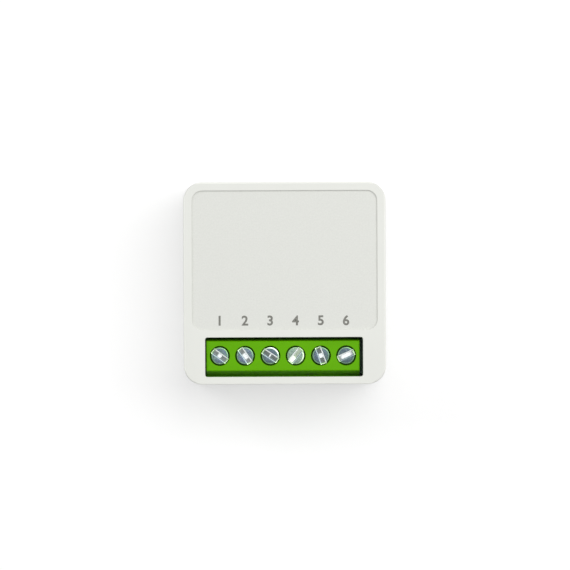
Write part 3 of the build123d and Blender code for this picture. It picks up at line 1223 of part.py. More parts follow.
def lead_places():
    """(x, y, radius) of everything that goes through the board."""
    places = [(pole_x(pole), CONTACT_LINE, PIN_RADIUS) for pole in range(POLE_COUNT)]
    places += [(x, RELAY_PIN_LINE, PIN_RADIUS) for x in (YOKE_PIN_X, FIXED_PIN_X)]
    places += [(CORE_LINE + side * COIL_PIN_SPREAD, RELAY_PIN_LINE, COIL_PIN_RADIUS) for side in (-1, 1)]
    varistor_y = (VARISTOR_FRONT + VARISTOR_BACK) / 2
    fuse_half = FUSE_LENGTH / 2 + FUSE_LEAD_OUT
    for side in (-1, 1):
        places += [
            (MAINS_CAP_LEAD_X, MAINS_CAP_Y + side * MAINS_CAP_LEAD_SPACING / 2, CAP_LEAD_RADIUS),
            (OUTPUT_CAP_X + side * OUTPUT_CAP_LEAD_SPACING / 2, OUTPUT_CAP_Y, CAP_LEAD_RADIUS),
            (VARISTOR_X + side * VARISTOR_LEAD_SPACING / 2, varistor_y, VARISTOR_LEAD_RADIUS),
            (FUSE_X + side * fuse_half, FUSE_Y, FUSE_LEAD_RADIUS),
            (CHOKE_X + side * CHOKE_LEAD_SPACING / 2, CHOKE_Y, CHOKE_LEAD_RADIUS),
        ]
    places += [(x, RADIO_PIN_Y, RADIO_PIN_RADIUS) for x in radio_pin_places()]
    places += [(AERIAL_LEFT, AERIAL_Y - AERIAL_RADIUS, AERIAL_WIRE_RADIUS)]
    return places


def main_board(places):
    """Circuit board with a hole for each lead and a milled isolation slot."""
    board = rounded_slab(
        -BOARD_HALF_WIDTH, BOARD_HALF_WIDTH, -BOARD_HALF_DEPTH, BOARD_HALF_DEPTH,
        BOARD_BOTTOM, BOARD_TOP, BOARD_CORNER_RADIUS,
    )
    for x, y, radius in places:
        board -= upright(
            x, y, BOARD_BOTTOM - CUT_OVERRUN, BOARD_TOP + CUT_OVERRUN, radius + LEAD_HOLE_CLEARANCE
        )
    slot = extrude(
        SlotOverall(ISOLATION_SLOT_LENGTH, ISOLATION_SLOT_WIDTH, rotation=90),
        BOARD_THICKNESS + 2 * CUT_OVERRUN
    )
    return board - Pos(ISOLATION_SLOT_X, MAINS_CAP_Y, BOARD_BOTTOM - CUT_OVERRUN) * slot


def solder_joint(x, y, radius):
    """Solder cone round one lead, under the board."""
    bore = radius + SOLDER_GAP
    top, bottom = BOARD_BOTTOM, BOARD_BOTTOM - SOLDER_HEIGHT
    ring = turned(
        [(bore, top), (bore, bottom), (radius + SOLDER_NECK, bottom), (radius + SOLDER_COLLAR, top)]
    )
    return Pos(x, y, 0) * ring


def build_casing():
    """Both halves of the casing, the button and the light guide."""
    write("label_shell", label_shell())
    write("base_shell", base_shell())
    write("learn_button", learn_button())
    write("light_pipe", light_pipe())
    write("switch_case", switch_case())
    write("switch_plunger", switch_plunger())
    write("switch_dome", switch_dome())


def build_terminals():
    """The terminal block with its six clamps."""
    write("terminal_housing", terminal_housing())
    write("terminal_contacts", *[terminal_contact(pole_x(pole)) for pole in range(POLE_COUNT)])
    for pole in range(POLE_COUNT):
        write(f"clamp_cage_{pole + 1}", clamp_cage(pole_x(pole)))
        write(f"clamp_screw_{pole + 1}", clamp_screw(pole_x(pole), SLOT_TURNS_DEG[pole]))


def build_relay():
    """The relay and its mechanism."""
    load_pins, drive_pins = contact_pins(), coil_pins()
    plate, rivet = fixed_contact()
    write("relay_cover", relay_cover())
    write("relay_base", relay_base(load_pins + drive_pins))
    write("relay_load_pins", *load_pins)
    write("relay_coil_pins", *drive_pins)
    write("relay_bobbin", relay_bobbin())
    write("relay_winding", relay_winding())
    write("relay_core", relay_core())
    write("relay_yoke", relay_yoke())
    write("relay_armature", relay_armature())
    write("relay_contact_leaf", contact_leaf())
    write("relay_moving_contact", moving_contact())
    write("relay_return_spring", return_spring())
    write("relay_fixed_plate", plate)
    write("relay_fixed_contact", rivet)


def build_power_parts():
    """Capacitors, surge disc, fusible resistor and choke."""
    mains_can, mains_bung, mains_roll, mains_leads = mains_capacitor()
    output_can, output_bung, output_roll, output_leads = output_capacitor()
    disc, disc_leads = varistor()
    fuse, fuse_leads = fuse_resistor()
    core, winding, choke_leads = choke()
    write("capacitor_cans", mains_can, output_can)
    write("capacitor_bungs", mains_bung, output_bung)
    write("capacitor_rolls", mains_roll, output_roll)
    write("varistor_disc", disc)
    write("fuse_resistor_body", fuse)
    write("choke_core", core)
    write("choke_winding", winding)
    write("component_leads", *mains_leads, *output_leads, *disc_leads, *fuse_leads, *choke_leads)


def build_electronics():
    """Boards, chips, small parts, radio and aerial."""
    places = lead_places()
    write("main_board", main_board(places))
    write("solder_joints", *[solder_joint(*place) for place in places])
    sop8 = chip(SOP8_LENGTH, SOP_WIDTH, SOP_HEIGHT, 4, LEG_PITCH, LEG_WIDTH)
    sop16 = chip(SOP16_LENGTH, SOP_WIDTH, SOP_HEIGHT, 8, LEG_PITCH, LEG_WIDTH)
    bridge = chip(BRIDGE_LENGTH, BRIDGE_WIDTH, BRIDGE_HEIGHT, 2, BRIDGE_LEG_PITCH, BRIDGE_LEG_WIDTH)
    thin_sop8 = chip(SOP8_LENGTH, SOP_WIDTH, RADIO_CHIP_HEIGHT, 4, LEG_PITCH, LEG_WIDTH)
    chips = [
        ("mcu_chip", sop16, under_board(MCU_X, MCU_Y)),
        ("power_chip", sop8, under_board(POWER_CHIP_X, MAINS_CAP_Y + POWER_CHIP_OFFSET)),
        ("bridge_rectifier", bridge, under_board(FUSE_X, FUSE_Y + BRIDGE_OFFSET)),
        ("radio_chip", thin_sop8, on_radio_board(RADIO_CHIP_SHARES) * Rot(0, 0, 90)),
    ]
    legs = []
    for name, (body, own_legs), place in chips:
        write(name, place * body)
        legs += [place * own for own in own_legs]
    write("chip_legs", *legs)
    write("radio_board", span_box(
        RADIO_LEFT, RADIO_LEFT + RADIO_LENGTH, RADIO_FRONT, RADIO_BACK,
        RADIO_BOTTOM, RADIO_BOTTOM + RADIO_HEIGHT,
    ))
    write("radio_pins", *[
        upright(x, RADIO_PIN_Y, TAIL_END, RADIO_BOTTOM + RADIO_PIN_UP, RADIO_PIN_RADIUS)
        for x in radio_pin_places()
    ])
    crystal = extrude(
        RectangleRounded(CRYSTAL_LENGTH, CRYSTAL_WIDTH, CRYSTAL_CORNER_RADIUS), CRYSTAL_HEIGHT
    )
    write("crystal_can", on_radio_board(CRYSTAL_SHARES) * crystal)
    diode = span_box(
        -DIODE_LENGTH / 2, DIODE_LENGTH / 2, -DIODE_WIDTH / 2, DIODE_WIDTH / 2, 0, DIODE_HEIGHT
    )
    diode_places = [(FRONT_DIODE_X, FRONT_DIODE_Y), (BACK_DIODE_X, BACK_DIODE_Y)]
    write("power_diodes", *[under_board(x, y) * diode for x, y in diode_places])
    write("chip_resistors", *small_parts(resistor_places(), RESISTOR_HEIGHT))
    write("chip_capacitors", *small_parts(ceramic_places(), CERAMIC_HEIGHT))
    write("status_led", *small_parts([(LED_X, LED_Y)], LED_HEIGHT))
    write("aerial_coil", aerial())


os.makedirs("parts", exist_ok=True)
build_casing()
build_terminals()
build_relay()
build_power_parts()
build_electronics()
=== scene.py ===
"""Looks of the flush-mounted smart relay module: finishes, clamp screws, windings, label figures and studio.

Laid out as a Blender add-on and run as a script. Everything is in metres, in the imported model's frame,
with the label face up along Z and the screw terminals along the front edge, at negative Y.
"""

import json
import math

import bmesh
import bpy
import numpy as np
from bpy.props import FloatProperty, FloatVectorProperty, IntProperty, PointerProperty
from mathutils import Euler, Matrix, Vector


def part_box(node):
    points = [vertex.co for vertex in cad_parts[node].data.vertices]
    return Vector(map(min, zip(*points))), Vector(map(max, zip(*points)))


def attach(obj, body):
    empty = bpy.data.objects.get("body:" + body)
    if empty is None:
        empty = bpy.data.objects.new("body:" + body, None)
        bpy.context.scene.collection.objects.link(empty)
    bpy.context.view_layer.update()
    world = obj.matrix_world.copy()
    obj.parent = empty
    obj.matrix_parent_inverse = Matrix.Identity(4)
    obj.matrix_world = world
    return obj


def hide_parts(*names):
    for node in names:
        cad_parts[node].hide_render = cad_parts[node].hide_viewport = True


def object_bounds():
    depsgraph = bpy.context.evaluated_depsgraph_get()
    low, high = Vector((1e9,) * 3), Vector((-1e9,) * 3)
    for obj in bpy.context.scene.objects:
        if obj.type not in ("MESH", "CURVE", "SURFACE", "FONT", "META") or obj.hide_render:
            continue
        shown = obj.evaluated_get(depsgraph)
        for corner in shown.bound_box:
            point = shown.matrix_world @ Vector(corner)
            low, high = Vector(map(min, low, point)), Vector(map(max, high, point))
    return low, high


bl_info = {
    "name": "Relay Module Looks",
    "version": (1, 0, 0),
    "blender": (4, 5, 0),
    "location": "View3D > Sidebar > Relay",
    "description": "Finishes, clamp screws, windings, label figures and studio of a smart relay module",
    "category": "Object",
}

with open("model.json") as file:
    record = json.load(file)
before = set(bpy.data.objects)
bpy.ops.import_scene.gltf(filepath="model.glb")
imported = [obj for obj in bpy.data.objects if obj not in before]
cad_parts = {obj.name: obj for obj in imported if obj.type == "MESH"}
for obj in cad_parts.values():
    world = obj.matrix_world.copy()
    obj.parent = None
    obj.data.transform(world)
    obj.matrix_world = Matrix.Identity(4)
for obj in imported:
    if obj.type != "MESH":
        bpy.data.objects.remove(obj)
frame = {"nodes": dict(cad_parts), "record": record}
CAD_BOUNDS = [list(corner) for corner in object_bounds()]
MM = 0.001
FACE = CAD_BOUNDS[1][2]
POLES = range(1, 7)


def middle(node):
    """Middle of a CAD node's box, in metres."""
    low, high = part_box(node)
    return (low + high) / 2


# Sizes and colours


def length_setting(name, description, default):
    """A length in metres, shown with the digits that a small part needs."""
    return FloatProperty(name=name, description=description, unit="LENGTH", default=default, precision=6)


def colour_setting(name, description, default):
    """A colour."""
    return FloatVectorProperty(
        name=name, description=description, subtype="COLOR", size=3, min=0, max=1, default=default,
    )


class RelayFinishSettings(bpy.types.PropertyGroup):
    """Colours and surface grain of the finishes."""

    housing: colour_setting("Housing", "Colour of the white casing", (0.8, 0.81, 0.765))
    terminal: colour_setting("Terminal block", "Colour of the green terminal moulding", (0.127, 0.434, 0.0))
    screw: colour_setting("Screws", "Colour of the zinc plating on the screws", (0.1, 0.155, 0.15))
    screw_blue: colour_setting(
        "Screw bloom", "Bluer colour that the zinc drifts to in patches", (0.085, 0.115, 0.17),
    )
    # Colour of the painted highlights on the screws: the slot floor's bright spot, crescents and the spread
    # beside the slot
    burnished: colour_setting(
        "Burnished metal", "Colour of the screws where they are rubbed bright", (0.88, 0.93, 0.93),
    )
    ink: colour_setting("Ink", "Colour of the printed figures", (0.17, 0.17, 0.15))
    housing_grain: length_setting(
        "Housing grain", "Size of the spark-eroded grain on the casing", 0.16 * MM,
    )
    recess_grain: length_setting("Recess grain", "Size of the coarser grain in the label recess", 0.3 * MM)
    recess_depth: length_setting("Recess depth", "How far the label recess lies under the face", 0.35 * MM)


class ClampScrewSettings(bpy.types.PropertyGroup):
    """Sizes of the six slotted clamp screws."""

    head_radius: length_setting("Head radius", "Radius of the cheese head", 1.75 * MM)
    head_height: length_setting("Head height", "Height of the head", 1.4 * MM)
    slot_width: length_setting("Slot width", "Width of the driver slot", 0.72 * MM)
    slot_depth: length_setting("Slot depth", "Depth of the driver slot", 0.75 * MM)
    rim_round: length_setting("Rim rounding", "How far the head's rim is rounded inwards", 0.2 * MM)
    slot_round: length_setting("Slot rounding", "How far the slot's edges are rounded", 0.2 * MM)
    edge_drop: length_setting("Edge drop", "How far the rounded edges fall", 0.14 * MM)
    burr: length_setting("Burr", "How far the cut metal stands out beside the slot's ends", 0.17 * MM)
    shank_radius: length_setting("Shank radius", "Radius over the thread", 1.25 * MM)
    pitch: length_setting("Thread pitch", "Rise of the thread per turn", 0.45 * MM)
    thread_depth: length_setting("Thread depth", "Depth of the thread", 0.24 * MM)


class LabelFigureSettings(bpy.types.PropertyGroup):
    """Plain numbers of the six terminals."""

    height: length_setting("Figure height", "Height of a printed figure", 1.85 * MM)
    line: length_setting("Row", "Y of the middle of the figures", -7.37 * MM)
    weight: length_setting("Weight", "How far the strokes are thickened on each side", 0.07 * MM)
    film: length_setting("Ink film", "Thickness of the ink over the recess floor", 0.02 * MM)


class WindingSettings(bpy.types.PropertyGroup):
    """Wire of the coils inside the module."""

    relay_wire: length_setting("Relay wire", "Pitch of the relay coil's turns", 0.22 * MM)
    choke_wire: length_setting("Choke wire", "Pitch of the choke's turns", 0.3 * MM)
    aerial_turns: IntProperty(
        name="Aerial turns", description="Turns of the wound aerial", default=11, min=1, max=24,
    )
    aerial_wire_radius: length_setting("Aerial wire", "Radius of the aerial's wire", 0.28 * MM)
    capacitor_layer: length_setting("Capacitor layer", "Thickness of one layer of foil and paper", 0.3 * MM)
    capacitor_gap: length_setting(
        "Capacitor gap", "Y between the lying capacitor and the standing one", 6.7 * MM,
    )


class StudioSettings(bpy.types.PropertyGroup):
    """Camera, floor and lamps."""

    lens: FloatProperty(
        name="Lens", description="Focal length of the camera in millimetres", default=300.0, min=20,
    )
    field: length_setting("Field", "Width that the camera sees at the label face", 112.64 * MM)
    aim: FloatVectorProperty(
        name="Aim", description="Where the camera looks on the label face, across and up", size=2,
        unit="LENGTH", default=(0.067 * MM, -0.365 * MM), precision=6,
    )
    roll: FloatProperty(
        name="Roll", description="Turn of the camera about its line of sight", unit="ROTATION",
        default=math.radians(-0.24),
    )
    lamp_height: FloatProperty(
        name="Lamp height", description="How far the soft boxes hang above the floor", unit="LENGTH",
        default=1.2,
    )
    lamp_power: FloatProperty(
        name="Lamp power", description="Power of all the soft boxes together", unit="POWER",
        default=21.8, min=0,
    )
    sky: FloatProperty(
        name="Sky", description="Strength of the even light from all round", default=0.467, min=0,
    )
    floor: colour_setting("Floor", "Colour of the floor", (0.62, 0.62, 0.62))
    floor_rings: FloatVectorProperty(
        name="Floor rings", description="Radii of the floor's rings outside the casing", size=3,
        unit="LENGTH", default=(0.05, 0.4, 3.0),
    )
    floor_gap: length_setting("Floor gap", "How far the floor lies under the casing", 0.02 * MM)
    opening: length_setting("Floor opening", "Width of the opening under the casing", 37.8 * MM)
    opening_round: length_setting("Opening corners", "Corner radius of the floor's opening", 3.0 * MM)
    floor_glow: FloatProperty(
        name="Floor lift", description="What the floor adds for the camera to read as white",
        default=0.446, min=0,
    )


# Surfaces


def cells(rows, columns, first=0):
    """Corner numbers of the quads of a grid whose last column joins its first."""
    index = first + np.arange(rows * columns).reshape(rows, columns)
    ahead = np.roll(index, -1, axis=1)
    return np.stack([index[:-1], ahead[:-1], ahead[1:], index[1:]], axis=-1).reshape(-1, 4)


def poled(rings):
    """Closes a stack of rings at both ends with a row that lies on the end ring's mean point."""
    first = np.broadcast_to(rings[:1].mean(axis=1, keepdims=True), rings[:1].shape)
    last = np.broadcast_to(rings[-1:].mean(axis=1, keepdims=True), rings[-1:].shape)
    return np.concatenate([first, rings, last])


def piece(name, shells, body, sharp=35.0, own_map=None):
    """Makes one object of closed shells, each a stack of rings, welded and with faces outwards."""
    points = np.concatenate([rings.reshape(-1, 3) for rings in shells])
    starts = np.cumsum([0] + [rings.shape[0] * rings.shape[1] for rings in shells[:-1]])
    quads = np.concatenate([cells(*rings.shape[:2], start) for rings, start in zip(shells, starts)])
    mesh = bpy.data.meshes.new(name)
    mesh.from_pydata(points.tolist(), [], quads.tolist())
    work = bmesh.new()
    work.from_mesh(mesh)
    bmesh.ops.remove_doubles(work, verts=work.verts, dist=1e-8)
    bmesh.ops.dissolve_degenerate(work, edges=work.edges, dist=1e-9)
    bmesh.ops.recalc_face_normals(work, faces=work.faces)
    work.to_mesh(mesh)
    work.free()
    mesh.shade_smooth()
    mesh.set_sharp_from_angle(angle=math.radians(sharp))
    if own_map is not None:
        lay_map(mesh, own_map)
    return shown(name, mesh, body)


def shown(name, mesh, body):
    """Puts a mesh in the scene as a piece that rides on a body."""
    item = bpy.data.objects.new(name, mesh)
    bpy.context.scene.collection.objects.link(item)
    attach(item, body)
    return item


def lay_map(mesh, place):
    """Gives a mesh its own map: each corner's point as place turns it into two numbers."""
    corners = np.empty(len(mesh.loops), np.int32)
    mesh.loops.foreach_get("vertex_index", corners)
    points = np.empty(len(mesh.vertices) * 3, np.float32)
    mesh.vertices.foreach_get("co", points)
    mesh.uv_layers.new(name="Own").data.foreach_set(
        "uv", place(points.reshape(-1, 3))[corners].astype(np.float32).ravel()
    )


def turned(profile, sides):
    """A profile of radius and height carried round the Z axis: x = r cos t, y = r sin t, z = height."""
    profile = np.asarray(profile, float)
    angle = np.linspace(0, math.tau, sides, endpoint=False)
    radius = profile[:, :1]
    return np.stack([radius * np.cos(angle), radius * np.sin(angle), profile[:, 1:] + 0 * angle], axis=-1)


def quarter(steps):
    """Sine and cosine shares along a quarter round, from the side to the top."""
    angle = np.linspace(0, math.pi / 2, steps)
    return 1 - np.cos(angle), np.sin(angle)


def along_path(path, radius, sides):
    """A round section carried along a path: each ring lies across the path's direction, turned as little
    as it can be from the ring before, which a fixed sideways reference gives on a coil."""
    ahead = np.gradient(path, axis=0)
    ahead /= np.linalg.norm(ahead, axis=1, keepdims=True)
    beside = np.cross(ahead, np.array([1.0, 0.0, 0.0]) + 0 * ahead)
    beside /= np.linalg.norm(beside, axis=1, keepdims=True)
    over = np.cross(ahead, beside)
    angle = np.linspace(0, math.tau, sides, endpoint=False)[None, :, None]
    return path[:, None] + radius * (beside[:, None] * np.cos(angle) + over[:, None] * np.sin(angle))


# Node materials


class Finish:
    """A node material in the making. It reads Object coordinates in metres, or the piece's own map."""

    def __init__(self, name, own_map=False):
        self.material = bpy.data.materials.new(name)
        self.material.use_nodes = True
        self.tree = self.material.node_tree
        self.shader = self.tree.nodes["Principled BSDF"]
        self.place = self.tree.nodes.new("ShaderNodeTexCoord").outputs["UV" if own_map else "Object"]
        self.relief = None

    def put(self, socket, value):
        """Links an output to a socket, or sets a plain value on it."""
        if isinstance(value, bpy.types.NodeSocket):
            self.tree.links.new(value, socket)
        elif isinstance(value, (tuple, list)) and socket.type == "RGBA" and len(value) == 3:
            socket.default_value = (*value, 1)
        else:
            socket.default_value = value

    def node(self, kind, inputs, **options):
        """Adds a node with its options and inputs."""
        made = self.tree.nodes.new(kind)
        for key, value in options.items():
            setattr(made, key, value)
        for key, value in inputs.items():
            self.put(made.inputs[key], value)
        return made

    def set(self, **values):
        """Sets the shader's own sockets by name, with underlines for spaces."""
        for key, value in values.items():
            self.put(self.shader.inputs[key.replace("_", " ")], value)

    def stretched(self, scale):
        """Coordinates multiplied by a scale for each axis."""
        return self.node("ShaderNodeMapping", {"Vector": self.place, "Scale": scale}).outputs["Vector"]

    def noise(self, size, detail=2.0, vector=None, rough=0.5):
        """Noise from 0 to 1 whose lumps are about size metres across."""
        return self.node(
            "ShaderNodeTexNoise",
            {"Vector": vector or self.place, "Scale": 1 / size, "Detail": detail, "Roughness": rough},
        ).outputs["Fac"]

    def ranged(self, value, start, end, low=0.0, high=1.0, smooth=False):
        """Maps start to low and end to high, and holds beyond them."""
        return self.node(
            "ShaderNodeMapRange",
            {"Value": value, "From Min": start, "From Max": end, "To Min": low, "To Max": high},
            interpolation_type="SMOOTHSTEP" if smooth else "LINEAR",
        ).outputs["Result"]

    def math(self, operation, first, second=0.0):
        """One sum on two numbers."""
        made = self.node("ShaderNodeMath", {}, operation=operation)
        self.put(made.inputs[0], first)
        self.put(made.inputs[1], second)
        return made.outputs["Value"]

    def product(self, *factors):
        """All factors multiplied."""
        total = factors[0]
        for factor in factors[1:]:
            total = self.math("MULTIPLY", total, factor)
        return total

    def band(self, value, start, full, last, end):
        """1 from full to last, and down to 0 at start and end."""
        return self.product(self.ranged(value, start, full), self.ranged(value, last, end, 1, 0))

    def either(self, switch, first, second):
        """One number or another, as the switch is 0 or 1."""
        made = self.node("ShaderNodeMix", {"Factor": switch}, data_type="FLOAT")
        self.put(made.inputs[2], first)
        self.put(made.inputs[3], second)
        return made.outputs[0]

    def axis(self, name):
        """One coordinate."""
        return self.node("ShaderNodeSeparateXYZ", {"Vector": self.place}).outputs[name]

    def reach(self, shift=(0, 0, 0)):
        """Distance from the map's middle after a shift."""
        made = self.node("ShaderNodeVectorMath", {}, operation="ADD")
        self.put(made.inputs[0], self.place)
        self.put(made.inputs[1], shift)
        length = self.node("ShaderNodeVectorMath", {}, operation="LENGTH")
        self.put(length.inputs[0], made.outputs["Vector"])
        return length.outputs["Value"]

    def mixed(self, factor, first, second):
        """A colour between two colours."""
        made = self.node("ShaderNodeMix", {}, data_type="RGBA")
        self.put(made.inputs["Factor"], factor)
        self.put(made.inputs[6], first)
        self.put(made.inputs[7], second)
        return made.outputs[2]

    def raised(self, height, distance):
        """Adds relief: a height from 0 to 1 stands distance metres proud."""
        inputs = {"Height": height, "Distance": distance, "Strength": 1.0}
        if self.relief is not None:
            inputs["Normal"] = self.relief
        self.relief = self.node("ShaderNodeBump", inputs).outputs["Normal"]
        self.put(self.shader.inputs["Normal"], self.relief)


def shade(colour, share):
    """A colour made lighter or darker by a share."""
    return tuple(min(1.0, part * (1 + share)) for part in colour)


def mottled(finish, colour, share, size, detail=3.0):
    """Colour that drifts by a share either way over lumps of a size."""
    drift = finish.ranged(finish.noise(size, detail), 0.3, 0.7)
    return finish.mixed(drift, shade(colour, -share), shade(colour, share))


def moulded(name, colour, rough=0.45, grain=0.12, relief=0.004, drift=0.03, size=6.0, specular=0.5):
    """Moulded plastic: drifting colour, fine grain in relief, and gloss that varies in soft patches."""
    finish = Finish(name)
    body = mottled(finish, colour, drift, size * MM)
    grit = finish.noise(grain * MM, 2.0)
    specks = finish.ranged(grit, 0.35, 0.65, 0, 0.35)
    finish.set(Base_Color=finish.mixed(specks, body, shade(colour, -drift)))
    patches = finish.noise(1.7 * MM, 3.0)
    finish.set(Roughness=finish.ranged(patches, 0.3, 0.7, rough - 0.06, rough + 0.06))
    finish.set(Specular_IOR_Level=specular)
    finish.raised(grit, relief * MM)
    return finish


def plated(name, colour, rough=0.3, stretch=(1, 1, 6), grain=0.12, relief=0.003, tarnish=0.2):
    """Bare or plated metal: drawn streaks in gloss and relief, and duller tarnish in patches."""
    finish = Finish(name)
    streaks = finish.noise(grain * MM, 2.0, finish.stretched(tuple(1 / part for part in stretch)))
    spots = finish.noise(0.9 * MM, 4.0, rough=0.6)
    dull = finish.ranged(spots, 0.45, 0.75, 0, 1, smooth=True)
    finish.set(Base_Color=finish.mixed(dull, colour, shade(colour, -tarnish)), Metallic=1.0)
    base = finish.ranged(streaks, 0.3, 0.7, rough - 0.08, rough + 0.08)
    finish.set(Roughness=finish.math("ADD", base, finish.product(dull, 0.12)))
    finish.raised(streaks, relief * MM)
    return finish


# Finishes of the CAD nodes


def casing_finish(settings):
    """White moulding: fine spark-eroded grain outside, coarser grain in the label recess, faint flow marks.
    The face's rounded outer edge is painted paler as painted light, and the step down into the recess is
    painted darker as painted shade."""
    finish = Finish("Casing")
    colour = tuple(settings.housing)
    across = finish.math("ABSOLUTE", finish.axis("X"))
    upward = finish.axis("Y")
    height = finish.axis("Z")
    recess_half, recess_front = 18.3 * MM, -10 * MM
    level = FACE - settings.recess_depth
    inside = finish.product(
        finish.math("LESS_THAN", across, recess_half),
        finish.math("GREATER_THAN", upward, recess_front),
        finish.math("LESS_THAN", finish.math("ABSOLUTE", finish.math("SUBTRACT", height, level)), 0.05 * MM),
    )
    coarse = finish.noise(settings.recess_grain, 3.0, rough=0.6)
    grit = finish.either(inside, finish.noise(settings.housing_grain, 2.0), coarse)
    flow = finish.noise(7 * MM, 3.0, finish.stretched((1, 0.35, 1)))
    body = finish.mixed(finish.ranged(flow, 0.3, 0.7), shade(colour, -0.012), shade(colour, 0.012))
    outer = finish.math("MAXIMUM", across, finish.math("ABSOLUTE", upward))
    # Painted light: the rounding of the face's outer edge is made paler, standing in for light falling on it
    painted_edge_light = finish.product(
        finish.ranged(height, FACE - 0.4 * MM, FACE - 0.25 * MM),
        finish.math("LESS_THAN", height, FACE - 0.002 * MM),
        finish.ranged(outer, 19.6 * MM, 19.7 * MM),
    )
    body = finish.mixed(painted_edge_light, body, shade(colour, 0.14))
    # Painted shade: the wall stepping down into the label recess and its rim are made darker
    step = finish.product(
        finish.band(height, level + 0.01 * MM, level + 0.03 * MM, FACE - 0.03 * MM, FACE - 0.01 * MM),
        finish.math("LESS_THAN", across, 18.6 * MM),
        finish.band(upward, -9.6 * MM, -9.5 * MM, 18.6 * MM, 18.7 * MM),
    )
    body = finish.mixed(step, body, shade(colour, -0.12))
    recessed = finish.mixed(finish.ranged(coarse, 0.3, 0.7), shade(colour, -0.095), shade(colour, -0.04))
    finish.set(Base_Color=finish.mixed(inside, body, recessed))
    patches = finish.noise(2.2 * MM, 3.0)
    finish.set(Roughness=finish.ranged(patches, 0.3, 0.7, 0.42, 0.52), Specular_IOR_Level=0.45)
    finish.raised(grit, 0.006 * MM)
    return finish


def green_finish(settings):
    """Glossy green moulding of the terminal block, with flow marks along its length."""
    finish = Finish("Terminal moulding")
    colour = tuple(settings.terminal)
    flow = finish.noise(3 * MM, 3.0, finish.stretched((0.3, 1, 1)))
    grit = finish.noise(0.14 * MM, 2.0)
    body = finish.mixed(finish.ranged(flow, 0.3, 0.7), shade(colour, -0.05), shade(colour, 0.05))
    finish.set(Base_Color=finish.mixed(finish.ranged(grit, 0.4, 0.7, 0, 0.5), body, shade(colour, -0.09)))
    finish.set(Roughness=finish.ranged(finish.noise(1.2 * MM, 3.0), 0.3, 0.7, 0.3, 0.42))
    finish.set(Specular_IOR_Level=0.08)
    finish.raised(grit, 0.004 * MM)
    return finish


